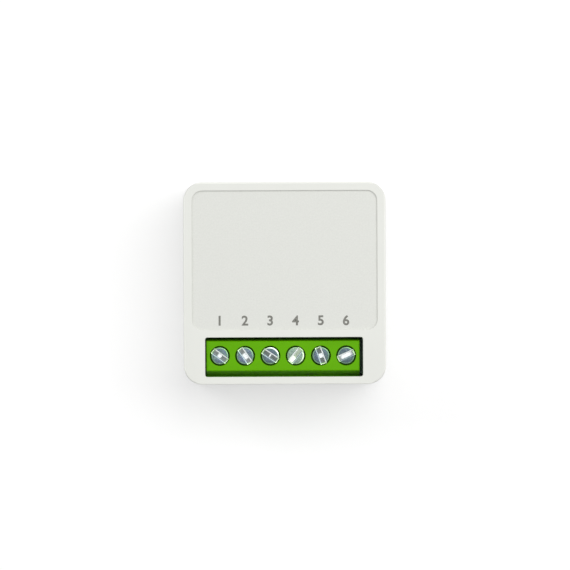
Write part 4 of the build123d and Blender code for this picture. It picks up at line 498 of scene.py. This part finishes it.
def screw_finish(settings, screw, look):
    """Zinc plating on a turned head, on a map in millimetres with X along the slot. The lands carry lathe
    rings and a bloom that drifts from grey to blue. Light and shade are painted on: the slot's edges get a
    painted highlight on one side and painted shade on the other, the rim's rounding a green painted
    reflection of the moulding, ringed by painted shadow that gives way to pale painted light at the slot's
    ends, and the slot's dark floor has cutter streaks and a painted highlight round one spot. Some heads
    have a painted crescent highlight, where a disc shifted away from it ends, and some have lands tinted
    green as a painted reflection of the moulding."""
    finish = Finish("Zinc screw", own_map=True)
    # The green colour tints the lands by look's land share, as a painted reflection of the green moulding
    soot, pale, green_reflection, dusk = (0.03, 0.045, 0.045), (0.45, 0.54, 0.5), (0.3, 0.43, 0.22), (0.03, 0.05, 0.06)
    # The tinge turns the painted highlight green by the same share, as a painted reflection
    tinge = (0.35, 0.0, 0.8)
    bright = tuple(part * (1 - cut * look["land"]) for part, cut in zip(settings.burnished, tinge))
    along, beside = finish.axis("X"), finish.axis("Y")
    across = finish.math("ABSOLUTE", beside)
    radius = finish.reach()
    rings = finish.node(
        "ShaderNodeTexNoise", {"W": radius, "Scale": 9.0, "Detail": 3.0}, noise_dimensions="1D",
    ).outputs["Fac"]
    half, broken = screw.slot_width / 2 / MM, screw.slot_round / MM
    cutter = finish.noise(0.1, 2.0, finish.stretched((0.12, 1, 1)))
    in_slot = finish.math("LESS_THAN", across, half - 0.02)
    # Painted highlight: the slot's floor is made bright round one spot, and on some heads beside the slot,
    # standing in for the lamp's reflection
    off = finish.math("ABSOLUTE", finish.math("SUBTRACT", along, look["spot"]))
    highlighted = finish.ranged(off, 0.6 * look["reach"], 1.1 * look["reach"], 1, look["floor"], smooth=True)
    highlight_spread = finish.product(highlighted, finish.ranged(across, half, half + look["highlight_spread"] + 0.01, 1, 0))
    # Painted highlight: a crescent near the rim, standing in for the lamp's reflection on a domed head
    aim, shift = math.radians(look["shine"]), 0.32
    far = finish.reach((shift * math.cos(aim), shift * math.sin(aim), 0))
    crescent = finish.ranged(far, 1.67, 1.83, 0, look["crescent"], smooth=True)
    finish.place = finish.tree.nodes["Texture Coordinate"].outputs["Object"]
    bloom = finish.noise(0.3 * MM, 4.0, rough=0.65)
    patches = finish.noise(0.9 * MM, 2.0)
    body = finish.mixed(finish.ranged(patches, 0.4, 0.6), tuple(settings.screw), tuple(settings.screw_blue))
    body = finish.mixed(finish.ranged(bloom, 0.3, 0.5, 0.5, 0), body, soot)
    body = finish.mixed(finish.ranged(bloom, 0.55, 0.75, 0, 0.45 + 0.5 * look["land"]), body, pale)
    body = finish.mixed(look["land"], body, green_reflection)
    body = finish.mixed(look["dull"], body, dusk)
    body = finish.mixed(finish.ranged(rings, 0.4, 0.75, 0, 0.1), body, pale)
    streaks = finish.ranged(cutter, 0.3, 0.7, 0.7, 0.95)
    floor = finish.mixed(finish.product(highlighted, streaks), (0.035, 0.05, 0.045), shade(bright, -0.15))
    body = finish.mixed(in_slot, body, floor)
    shine = finish.math("MAXIMUM", highlight_spread, crescent) if look["highlight_spread"] else crescent
    body = finish.mixed(shine, body, bright)
    # Painted highlight on the slot's edge at positive Y and painted shade on the edge at negative Y
    edge = finish.band(across, half - 0.04, half, half + broken * 0.9, half + broken * 1.3)
    edge = finish.product(edge, finish.ranged(bloom, 0.3, 0.5, 0.8, 1))
    slot_edge_light_and_shade = finish.mixed(finish.math("GREATER_THAN", beside, 0), (0.26, 0.32, 0.34), (0.97, 1.0, 1.0))
    body = finish.mixed(edge, body, slot_edge_light_and_shade)
    # Painted reflection: the rim's rounding is tinted green, standing in for the green well wall seen in it
    rim = finish.band(radius, 1.46, 1.54, 1.62, 1.68)
    rim = finish.product(rim, finish.ranged(patches, 0.35, 0.65, 0.3, 0.9))
    body = finish.mixed(rim, body, (0.2, 0.4, 0.15))
    shadowed = finish.product(finish.ranged(radius, 1.66, 1.71), finish.ranged(across, 0.55, 0.7))
    body = finish.mixed(shadowed, body, (0.02, 0.07, 0.01))
    # Painted light: a pale green ring inside the rim near the slot's ends, where light reaches the well wall
    lip = finish.product(finish.ranged(radius, 1.6, 1.68), finish.ranged(across, 0.55, 0.7, 0.9, 0))
    finish.set(Base_Color=finish.mixed(lip, body, (0.72, 0.9, 0.6)), Metallic=1.0)
    finish.set(Roughness=finish.ranged(bloom, 0.3, 0.7, 0.22, 0.36))
    finish.raised(finish.either(in_slot, rings, cutter), 0.008 * MM)
    finish.raised(bloom, 0.008 * MM)
    return finish


def laminate_finish():
    """Green solder mask over woven glass, paler over fields of copper with narrow gaps between them."""
    finish = Finish("Board laminate")
    weave = [
        finish.node(
            "ShaderNodeTexWave", {"Vector": finish.place, "Scale": 900.0, "Distortion": 0.6, "Detail": 1.0},
            bands_direction=direction,
        ).outputs["Fac"]
        for direction in ("X", "Y")
    ]
    cloth = finish.product(*weave)
    nearest, second = [
        finish.node(
            "ShaderNodeTexVoronoi", {"Vector": finish.place, "Scale": 230.0},
            distance="MANHATTAN", feature=rank,
        ).outputs["Distance"]
        for rank in ("F1", "F2")
    ]
    tracks = finish.ranged(finish.math("SUBTRACT", second, nearest), 0.07, 0.1)
    colour = (0.035, 0.19, 0.08)
    body = finish.mixed(cloth, shade(colour, -0.12), shade(colour, 0.1))
    finish.set(Base_Color=finish.mixed(tracks, body, (0.06, 0.3, 0.12)))
    finish.set(Roughness=finish.ranged(finish.noise(1.5 * MM, 3.0), 0.3, 0.7, 0.26, 0.38))
    finish.raised(cloth, 0.006 * MM)
    finish.raised(tracks, 0.02 * MM)
    return finish


def clear_finish(name, tint, haze):
    """Clear moulded plastic with faint flow waviness and a hazed skin."""
    finish = Finish(name)
    finish.set(Transmission_Weight=1.0, IOR=1.49)
    finish.set(Base_Color=mottled(finish, tint, 0.03, 1.0 * MM))
    finish.set(Roughness=finish.ranged(finish.noise(0.4 * MM, 3.0), 0.3, 0.7, haze, haze + 0.08))
    finish.raised(finish.noise(0.6 * MM, 2.0), 0.01 * MM)
    return finish


def ink_finish(settings):
    """Pad-printed ink: pinholes of the casing's grain show through, and its edge strength varies."""
    finish = Finish("Label ink")
    colour = tuple(settings.ink)
    grit = finish.noise(0.14 * MM, 2.0)
    drift = finish.ranged(finish.noise(0.5 * MM), 0.3, 0.7)
    body = finish.mixed(drift, shade(colour, -0.15), shade(colour, 0.2))
    finish.set(Base_Color=finish.mixed(finish.ranged(grit, 0.55, 0.75, 0, 0.6), body, (0.5, 0.5, 0.47)))
    finish.set(Roughness=finish.ranged(grit, 0.3, 0.7, 0.5, 0.65))
    finish.raised(grit, 0.006 * MM)
    return finish


def wire_finish(name, colour):
    """Enamelled copper wire: varnish coat over metal, with turns that differ a little."""
    finish = Finish(name)
    finish.set(Base_Color=mottled(finish, colour, 0.14, 0.35 * MM), Metallic=1.0)
    finish.set(Roughness=finish.ranged(finish.noise(0.2 * MM), 0.3, 0.7, 0.22, 0.34))
    finish.set(Coat_Weight=0.6, Coat_Roughness=0.12)
    finish.raised(finish.noise(0.08 * MM), 0.002 * MM)
    return finish


def layered_finish():
    """Paper and foil seen on edge: fine bands, with electrolyte stains on the outer turn."""
    finish = Finish("Wound layers")
    stains = finish.noise(1.2 * MM, 4.0)
    body = finish.mixed(finish.ranged(stains, 0.35, 0.7), (0.62, 0.52, 0.36), (0.46, 0.36, 0.22))
    fibres = finish.noise(0.06 * MM, 3.0)
    finish.set(Base_Color=finish.mixed(finish.ranged(fibres, 0.4, 0.7, 0, 0.4), body, (0.7, 0.64, 0.52)))
    finish.set(Roughness=finish.ranged(stains, 0.3, 0.7, 0.85, 0.6))
    finish.raised(fibres, 0.006 * MM)
    return finish


def node_finishes(settings):
    """Every finish of the CAD nodes by the record's slot."""
    return {
        "housing_white": casing_finish(settings),
        "terminal_green": green_finish(settings),
        "screw_steel": plated("Zinc steel", tuple(settings.screw), 0.3, (1, 1, 1)),
        "cage_steel": plated("Zinc cage", (0.5, 0.51, 0.5), 0.32, (1, 6, 1)),
        "tinned_copper": plated("Tinned wire", (0.66, 0.65, 0.62), 0.26, (1, 1, 6), tarnish=0.12),
        "contact_brass": plated("Plated brass", (0.68, 0.5, 0.22), 0.28, (6, 1, 1)),
        "board_green": laminate_finish(),
        "solder": plated("Solder", (0.6, 0.6, 0.6), 0.24, (1, 1, 1), 0.3, 0.006, 0.1),
        "relay_shell": moulded("Relay shell", (0.03, 0.03, 0.034), 0.38, 0.1, 0.003, 0.12),
        "relay_mouldings": moulded("Relay mouldings", (0.09, 0.09, 0.1), 0.42, 0.1, 0.003, 0.08),
        "bobbin_white": moulded("Bobbin", (0.76, 0.73, 0.66), 0.4, 0.15, 0.003, 0.03),
        "copper_winding": wire_finish("Copper wire", (0.6, 0.25, 0.09)),
        "soft_iron": plated("Soft iron", (0.5, 0.5, 0.48), 0.36, (1, 6, 1), tarnish=0.25),
        "spring_bronze": plated("Spring bronze", (0.66, 0.42, 0.2), 0.26, (6, 1, 1)),
        "contact_silver": plated("Contact silver", (0.78, 0.78, 0.75), 0.16, (1, 1, 1), 0.2, 0.002, 0.1),
        "can_aluminium": plated("Aluminium can", (0.7, 0.71, 0.72), 0.24, (1, 1, 6), 0.1, 0.002, 0.08),
        "bung_rubber": moulded("Bung rubber", (0.035, 0.035, 0.035), 0.75, 0.2, 0.008, 0.15),
        "wound_paper": moulded("Wound paper", (0.58, 0.48, 0.32), 0.8, 0.15, 0.01, 0.1, 1.0, 0.2),
        "varistor_blue": moulded("Blue epoxy", (0.05, 0.14, 0.4), 0.28, 0.7, 0.03, 0.08),
        "resistor_green": moulded("Lacquer", (0.2, 0.33, 0.25), 0.42, 0.5, 0.02, 0.08, 1.5),
        "ferrite": moulded("Ferrite", (0.06, 0.06, 0.062), 0.55, 0.15, 0.01, 0.15, 1.0),
        "chip_black": moulded("Chip moulding", (0.025, 0.025, 0.027), 0.55, 0.08, 0.005, 0.12, 1.5),
        "ceramic_tan": moulded("Fired ceramic", (0.45, 0.33, 0.2), 0.5, 0.12, 0.004, 0.08, 0.8),
        "clear_guide": clear_finish("Clear guide", (0.92, 0.93, 0.93), 0.08),
        "switch_dome_steel": plated("Dome steel", (0.6, 0.6, 0.58), 0.2, (6, 1, 1), tarnish=0.1),
    }


def paint(item, finish):
    """Gives an object one finish in place of any that it has."""
    item.data.materials.clear()
    item.data.materials.append(finish.material)


class RELAY_OT_finishes(bpy.types.Operator):
    """Give every CAD node the finish of its material slot"""

    bl_idname = "relay.finishes"
    bl_label = "Finish the CAD nodes"

    def execute(self, context):
        settings = context.scene.relay_finish
        finishes = node_finishes(settings)
        slots = {row["node"]: row["material_slot"] for row in frame["record"]["subparts"]}
        for node, item in frame["nodes"].items():
            paint(item, finishes[slots[node]])
        paint(frame["nodes"]["status_led"], clear_finish("Light lens", (0.9, 0.86, 0.6), 0.2))
        self.report({"INFO"}, f"finished {len(slots)} nodes")
        return {"FINISHED"}


# Clamp screws


def head_land(settings, floor, top, side, steps=7):
    """One half of a slotted head: the outline is an arc of the head and the slot's straight edge, and its
    rings rise from the slot's floor and then close in by a quarter round, more at the rim than at the slot.
    The cutter's burr bends the arc outwards beside the slot, and fades out within half a millimetre."""
    sunk, tuck, burr_run = 0.05 * MM, 0.004 * MM, 0.5 * MM
    arc_points, edge_points = 49, 20
    inward, upward = quarter(steps)
    insets = np.concatenate([[tuck / settings.rim_round, 0], inward])
    heights = np.concatenate([[floor - sunk, floor], top - settings.edge_drop * (1 - upward)])
    radius = settings.head_radius - settings.rim_round * insets[:, None]
    edge = settings.slot_width / 2 + settings.slot_round * insets[:, None]
    corner = np.arcsin(edge / radius)
    share = (1 - np.cos(np.linspace(0, math.pi, arc_points))) / 2
    arc = corner + (math.pi - 2 * corner) * share
    near = np.clip(1 - radius * np.minimum(arc - corner, math.pi - corner - arc) / burr_run, 0, 1)
    rise = np.clip((heights[:, None] - floor) / (top - floor), 0, 1)
    radius = radius + settings.burr * near**2 * rise
    across = np.linspace(-1, 1, edge_points + 2)[1:-1]
    x = radius * np.cos(arc)
    x = np.concatenate([x, across * x[:, :1]], axis=1)
    y = radius * np.sin(arc)
    y = np.concatenate([y, y[:, :1] + 0 * across], axis=1)
    z = heights[:, None] + 0 * x
    return poled(np.stack([x * side, y * side, z], axis=-1))


def threaded(settings, low, high, sides=48, per_turn=10):
    """Shank: radius falls from crest to root and back once a pitch, and the phase runs with the angle,
    so the ridge climbs one pitch a turn. It fades out at the tip and under the head."""
    rows = int((high - low) / settings.pitch * per_turn) + 1
    z = np.linspace(low, high, rows)[:, None]
    angle = np.linspace(0, math.tau, sides, endpoint=False)[None]
    phase = ((z - low) / settings.pitch - angle / math.tau) % 1
    valley = np.clip(1.25 - 3 * np.abs(phase - 0.5), 0, 1)
    fade = np.clip((high - z) / (0.6 * settings.pitch), 0, 1)
    depth = settings.thread_depth * (1 - (1 - valley) * fade)
    point = 0.3 * MM
    tip = np.clip(1 - (z - low) / point, 0, 1) * point
    radius = np.minimum(settings.shank_radius - depth, settings.shank_radius - tip)
    return np.stack([radius * np.cos(angle), radius * np.sin(angle), z + 0 * angle], axis=-1)


def head_disc(settings, low, floor):
    """Lower part of the head: a profile turned round the axis, with a broken edge underneath."""
    radius, shank, broken = settings.head_radius, settings.shank_radius - settings.thread_depth, 0.1 * MM
    profile = [(shank, low), (radius - broken, low), (radius, low + broken), (radius, floor)]
    profile += [(radius * share, floor) for share in (0.75, 0.5, 0.25)]
    return turned(profile, 48)


class RELAY_OT_clamp_screws(bpy.types.Operator):
    """Make the six slotted clamp screws, each on its own body and turned as in the photograph"""

    bl_idname = "relay.clamp_screws"
    bl_label = "Make the clamp screws"

    # Turn of each slot in degrees, and what each head shows: how bright the slot's floor is, where along it
    # the painted highlight lies and how far it reaches, the painted crescent highlight's strength and
    # direction, how far the painted highlight spreads beside the slot, how green the lands and highlights
    # are as a painted reflection of the green moulding, and how dull
    turns = (-37.0, -55.0, -33.0, 51.0, -70.0, 24.0)
    looks = (
        {"floor": 0.18, "spot": -0.05, "reach": 0.45},
        {"floor": 0.2, "spot": 0.1, "reach": 0.7},
        {"floor": 0.1, "spot": -0.05, "reach": 0.15, "crescent": 1.0, "shine": 92.0, "dull": 0.4},
        {"floor": 0.2, "spot": -1.0, "reach": 0.8, "crescent": 1.0, "shine": -62.0, "highlight_spread": 0.25,
         "land": 0.3},
        {"floor": 0.1, "spot": 0.0, "reach": 0.5, "dull": 0.4},
        {"floor": 0.3, "spot": 0.0, "reach": 1.2, "dull": 0.5},
    )
    plain = {"highlight_spread": 0.0, "crescent": 0.0, "shine": 0.0, "land": 0.0, "dull": 0.0}

    def execute(self, context):
        settings = context.scene.clamp_screws
        for pole, degrees, look in zip(POLES, self.turns, self.looks):
            node = f"clamp_screw_{pole}"
            low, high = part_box(node)
            centre = (low + high) / 2
            under = high.z - settings.head_height
            floor = high.z - settings.slot_depth
            shank = threaded(settings, low.z, under)
            disc = head_disc(settings, under, floor)
            shells = [
                poled(np.concatenate([shank, disc[1:]])),
                head_land(settings, floor, high.z, 1),
                head_land(settings, floor, high.z, -1),
            ]
            angle = math.radians(degrees)
            spin = np.array([[math.cos(angle), math.sin(angle), 0], [-math.sin(angle), math.cos(angle), 0],
                             [0, 0, 1]])
            place = np.array([centre.x, centre.y, 0])
            shells = [rings @ spin + place for rings in shells]

            def own_map(points, spin=spin, place=place):
                return ((points - place) @ spin.T)[:, :2] / MM

            item = piece(f"zinc_screw_{pole}", shells, f"screw_{pole}", own_map=own_map)
            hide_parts(node)
            paint(item, screw_finish(context.scene.relay_finish, settings, {**self.plain, **look}))
        return {"FINISHED"}


# Windings


def wound(low, high, outer, pitch, axis, centre, wave=0.3, sides=96, per_turn=8):
    """A layer of turns: the radius bulges once a pitch and its phase runs with the angle, so one ridge
    climbs from end to end. The cylinder lies along an axis through centre."""
    rows = int((high - low) / pitch * per_turn) + 1
    run = np.linspace(low, high, rows)[:, None]
    angle = np.linspace(0, math.tau, sides, endpoint=False)[None]
    phase = (run - low) / pitch - angle / math.tau
    ends = np.minimum(run - low, high - run) / pitch
    round_off = np.sqrt(np.clip(1 - (1 - np.clip(ends, 0, 1)) ** 2, 0, 1))
    radius = outer - wave * pitch * (1 - np.abs(np.cos(math.pi * phase))) - pitch * (1 - round_off) * 0.5
    first, second = radius * np.cos(angle), radius * np.sin(angle)
    along = run + 0 * angle
    if axis == "Y":
        return np.stack([centre.x + first, along, centre.z + second], axis=-1)
    if axis == "X":
        return np.stack([along, centre.y + first, centre.z + second], axis=-1)
    return np.stack([centre.x + first, centre.y + second, along], axis=-1)


def rolled(low, high, radius, layer, sides=96, per_layer=6):
    """A roll of foil and paper about Z. Its ends dip once a layer and the dip's phase runs with the angle,
    so the layers show as a spiral. The side closes in by half a layer in one turn, up to the loose edge."""
    angle = np.linspace(0, math.tau, sides, endpoint=False)[None]
    out = np.linspace(layer, radius, int(radius / layer * per_layer))[:, None]
    dip = 0.5 * layer * (1 - np.abs(np.cos(math.pi * (out / layer - angle / math.tau))))
    shrink = 1 - 0.5 * layer / radius * angle / math.tau
    end = np.stack([out * np.cos(angle) * shrink, out * np.sin(angle) * shrink, dip], axis=-1)
    bottom, top = end.copy(), end[::-1].copy()
    bottom[..., 2] += low
    top[..., 2] = high - top[..., 2]
    return np.concatenate([bottom, top])


def node_points(node):
    """Every point of a CAD node's mesh, in the model's frame."""
    item = frame["nodes"][node]
    points = np.empty(len(item.data.vertices) * 3, np.float32)
    item.data.vertices.foreach_get("co", points)
    place = np.array(item.matrix_world)
    return points.reshape(-1, 3) @ place[:3, :3].T + place[:3, 3]


class RELAY_OT_windings(bpy.types.Operator):
    """Wind the relay's coil, the choke, the wound aerial and the capacitors' rolls"""

    bl_idname = "relay.windings"
    bl_label = "Wind the coils"

    def execute(self, context):
        settings = context.scene.relay_windings
        wire = wire_finish("Enamelled wire", (0.6, 0.25, 0.09))
        low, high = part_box("relay_winding")
        coil = wound(low.y, high.y, (high.x - low.x) / 2, settings.relay_wire, "Y", middle("relay_winding"))
        item = piece("relay_coil_turns", [poled(coil)], "module", 80)
        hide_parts("relay_winding")
        paint(item, wire)
        low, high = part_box("choke_winding")
        coil = wound(low.z, high.z, (high.x - low.x) / 2, settings.choke_wire, "Z", middle("choke_winding"))
        item = piece("choke_turns", [poled(coil)], "module", 80)
        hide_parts("choke_winding")
        paint(item, wire)
        item = piece("aerial_turns", [poled(self.aerial(settings))], "module", 60)
        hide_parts("aerial_coil")
        paint(item, wire_finish("Aerial wire", (0.62, 0.27, 0.1)))
        item = piece("capacitor_layers", self.capacitors(settings), "module", 60)
        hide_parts("capacitor_rolls")
        paint(item, layered_finish())
        return {"FINISHED"}

    def capacitors(self, settings):
        """The rolls of the two capacitors: one lies along X, one stands."""
        points = node_points("capacitor_rolls")
        lying = points[points[:, 1] < settings.capacitor_gap]
        standing = points[points[:, 1] > settings.capacitor_gap]
        low, high = lying.min(0), lying.max(0)
        middle_y, middle_z = (low[1:] + high[1:]) / 2
        first = rolled(low[0], high[0], (high[1] - low[1]) / 2, settings.capacitor_layer)
        first = np.stack([first[..., 2], first[..., 0] + middle_y, first[..., 1] + middle_z], axis=-1)
        low, high = standing.min(0), standing.max(0)
        second = rolled(low[2], high[2], (high[1] - low[1]) / 2, settings.capacitor_layer)
        second = second + np.array([(low[0] + high[0]) / 2, (low[1] + high[1]) / 2, 0])
        return [poled(first), poled(second)]

    def aerial(self, settings):
        """The aerial's wire: a straight leg up through the board, then a helix about the X axis, with
        x rising one pitch a turn, and a short straight end."""
        low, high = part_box("aerial_coil")
        wire = settings.aerial_wire_radius
        turns = settings.aerial_turns
        radius = (high.y - low.y) / 2 - wire
        centre_y, centre_z = (low.y + high.y) / 2, high.z - wire - radius
        start = low.x + wire
        pitch = (high.x - wire - start) / turns
        angle = np.linspace(0, math.tau * turns, 28 * turns + 1)
        helix = np.stack(
            [start + pitch * angle / math.tau, centre_y - radius * np.cos(angle),
             centre_z + radius * np.sin(angle)],
            axis=-1,
        )
        leg = np.linspace([start, centre_y - radius, low.z], helix[0], 12)[:-1]
        tip = helix[-1] + (helix[-1] - helix[-2]) / np.linalg.norm(helix[-1] - helix[-2]) * 2 * wire
        return along_path(np.concatenate([leg, helix, [tip]]), wire, 14)


# Label figures


class RELAY_OT_label_figures(bpy.types.Operator):
    """Print a plain number over each terminal, in the label recess"""

    bl_idname = "relay.label_figures"
    bl_label = "Print the terminal numbers"

    # Height of a figure as a share of the text's size, and how deep the ink's foot goes into the recess
    tall = 0.7
    sunk = 0.001 * MM

    def execute(self, context):
        settings = context.scene.label_figures
        finish = ink_finish(context.scene.relay_finish)
        floor = FACE - context.scene.relay_finish.recess_depth
        for pole in POLES:
            curve = bpy.data.curves.new(f"figure_{pole}", "FONT")
            curve.body = str(pole)
            curve.align_x, curve.align_y = "CENTER", "CENTER"
            curve.size = settings.height / self.tall
            curve.extrude = settings.film / 2
            curve.offset = settings.weight
            source = bpy.data.objects.new(f"figure_{pole}_curve", curve)
            context.scene.collection.objects.link(source)
            context.view_layer.update()
            mesh = bpy.data.meshes.new_from_object(source.evaluated_get(context.evaluated_depsgraph_get()))
            bpy.data.objects.remove(source)
            points = np.empty(len(mesh.vertices) * 3, np.float32)
            mesh.vertices.foreach_get("co", points)
            points = points.reshape(-1, 3)
            centre = (points.min(0) + points.max(0)) / 2
            across = middle(f"clamp_screw_{pole}").x
            points += np.array([across, settings.line, floor + settings.film / 2 - self.sunk]) - centre
            mesh.vertices.foreach_set("co", points.ravel())
            mesh.update()
            item = shown(f"label_figure_{pole}", mesh, "module")
            paint(item, finish)
        return {"FINISHED"}


# Studio


def only_direct(tree):
    """1 for rays from the camera, off gloss and through clear pieces, and 0 for the rest."""
    path = tree.nodes.new("ShaderNodeLightPath")
    total = path.outputs["Is Camera Ray"]
    for name in ("Is Glossy Ray", "Is Transmission Ray"):
        add = tree.nodes.new("ShaderNodeMath")
        add.operation = "MAXIMUM"
        tree.links.new(total, add.inputs[0])
        tree.links.new(path.outputs[name], add.inputs[1])
        total = add.outputs["Value"]
    return total


class RELAY_OT_studio(bpy.types.Operator):
    """Set the floor, lamps, surroundings and the camera straight above the label face"""

    bl_idname = "relay.studio"
    bl_label = "Set the studio"

    # Each soft box's middle and size as shares of the lamps' height, and its share of their power
    boxes = (
        ("right", (0.4, 0.4), (0.8, 0.8), 0.357),
        ("middle", (-0.2, 0.4), (0.4, 0.8), 0.045),
        ("far_right", (1.0, 0.4), (0.4, 0.8), 0.231),
        ("back_left", (-1.0, 0.8), (0.4, 0.8), 0.367),
    )

    def execute(self, context):
        scene = context.scene
        settings = scene.relay_studio
        scene.view_settings.view_transform = "Standard"
        self.floor(scene, settings)
        self.surroundings(scene, settings)
        for name, place, size, share in self.boxes:
            self.soft_box(scene, settings, name, place, size, share)
        self.camera(scene, settings)
        return {"FINISHED"}

    def floor(self, scene, settings):
        """A flat floor whose far edge the side views don't reach. It is open where the casing stands,
        and clear to a camera below it. Its rings are squares with round corners: a turn along a circle,
        moved out by the straight run of the side that its cosine and sine point to."""
        turn = np.linspace(0, 2 * np.pi, 128, endpoint=False) + np.pi / 128
        around = np.stack([np.cos(turn), np.sin(turn), 0 * turn], axis=-1)
        opening = around * settings.opening_round + np.sign(np.round(around, 6)) * (
            settings.opening / 2 - settings.opening_round
        )
        rings = np.stack([opening, *(around * reach for reach in settings.floor_rings)])
        rings[..., 2] = -settings.floor_gap
        mesh = bpy.data.meshes.new("floor")
        mesh.from_pydata(rings.reshape(-1, 3).tolist(), [], cells(*rings.shape[:2])[:, ::-1].tolist())
        item = bpy.data.objects.new("floor", mesh)
        scene.collection.objects.link(item)
        finish = Finish("Floor")
        finish.set(Base_Color=tuple(settings.floor), Roughness=1.0, Specular_IOR_Level=0.0)
        glow = finish.product(only_direct(finish.tree), settings.floor_glow)
        finish.set(Emission_Color=(1, 1, 1), Emission_Strength=glow)
        behind = finish.node("ShaderNodeNewGeometry", {}).outputs["Backfacing"]
        seen = finish.node("ShaderNodeLightPath", {}).outputs["Is Camera Ray"]
        finish.set(Alpha=finish.math("SUBTRACT", 1, finish.product(behind, seen)))
        paint(item, finish)

    def surroundings(self, scene, settings):
        """Even light for the object, and white to the camera and to gloss."""
        world = bpy.data.worlds.new("surroundings")
        world.use_nodes = True
        scene.world = world
        tree = world.node_tree
        back = tree.nodes["Background"]
        back.inputs["Color"].default_value = (1, 1, 1, 1)
        level = tree.nodes.new("ShaderNodeMapRange")
        tree.links.new(only_direct(tree), level.inputs["Value"])
        level.inputs["To Min"].default_value = settings.sky
        level.inputs["To Max"].default_value = 1.0
        tree.links.new(level.outputs["Result"], back.inputs["Strength"])

    def soft_box(self, scene, settings, name, place, size, share):
        """A rectangular lamp that faces straight down."""
        data = bpy.data.lights.new(name, "AREA")
        data.shape, data.energy = "RECTANGLE", settings.lamp_power * share
        data.size, data.size_y = settings.lamp_height * size[0], settings.lamp_height * size[1]
        item = bpy.data.objects.new(name, data)
        item.location = Vector((*place, 1)) * settings.lamp_height
        scene.collection.objects.link(item)

    def camera(self, scene, settings):
        """Straight down, as far off as makes the label face's field as wide as the photograph's."""
        data = bpy.data.cameras.new("camera")
        data.sensor_width, data.lens = 36.0, settings.lens
        item = bpy.data.objects.new("camera", data)
        away = settings.field * settings.lens / data.sensor_width
        item.location = (settings.aim[0], settings.aim[1], FACE + away)
        item.rotation_euler = Euler((0, 0, settings.roll))
        data.clip_start, data.clip_end = 0.01, 10.0
        scene.collection.objects.link(item)
        scene.camera = item


# Sidebar


class VIEW3D_PT_relay_module(bpy.types.Panel):
    """Sizes, colours and steps of the relay module's looks"""

    bl_label = "Relay module"
    bl_space_type = "VIEW_3D"
    bl_region_type = "UI"
    bl_category = "Relay"

    def draw(self, context):
        for group in GROUPS:
            box = self.layout.box()
            settings = getattr(context.scene, group)
            for name in settings.__annotations__:
                box.prop(settings, name)
        for step in OPERATORS:
            self.layout.operator(step.bl_idname)


GROUPS = {
    "relay_finish": RelayFinishSettings,
    "clamp_screws": ClampScrewSettings,
    "relay_windings": WindingSettings,
    "label_figures": LabelFigureSettings,
    "relay_studio": StudioSettings,
}
OPERATORS = (
    RELAY_OT_finishes,
    RELAY_OT_clamp_screws,
    RELAY_OT_windings,
    RELAY_OT_label_figures,
    RELAY_OT_studio,
)


def register():
    """Registers the settings, the steps and the panel."""
    for kind in (*GROUPS.values(), *OPERATORS, VIEW3D_PT_relay_module):
        bpy.utils.register_class(kind)
    for name, kind in GROUPS.items():
        setattr(bpy.types.Scene, name, PointerProperty(type=kind))


def unregister():
    """Takes them out again."""
    for name in GROUPS:
        delattr(bpy.types.Scene, name)
    for kind in (VIEW3D_PT_relay_module, *reversed(OPERATORS), *reversed(GROUPS.values())):
        bpy.utils.unregister_class(kind)


def main():
    """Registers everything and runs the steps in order."""
    register()
    bpy.ops.relay.finishes()
    bpy.ops.relay.clamp_screws()
    bpy.ops.relay.windings()
    bpy.ops.relay.label_figures()
    bpy.ops.relay.studio()


if __name__ == "__main__":
    main()
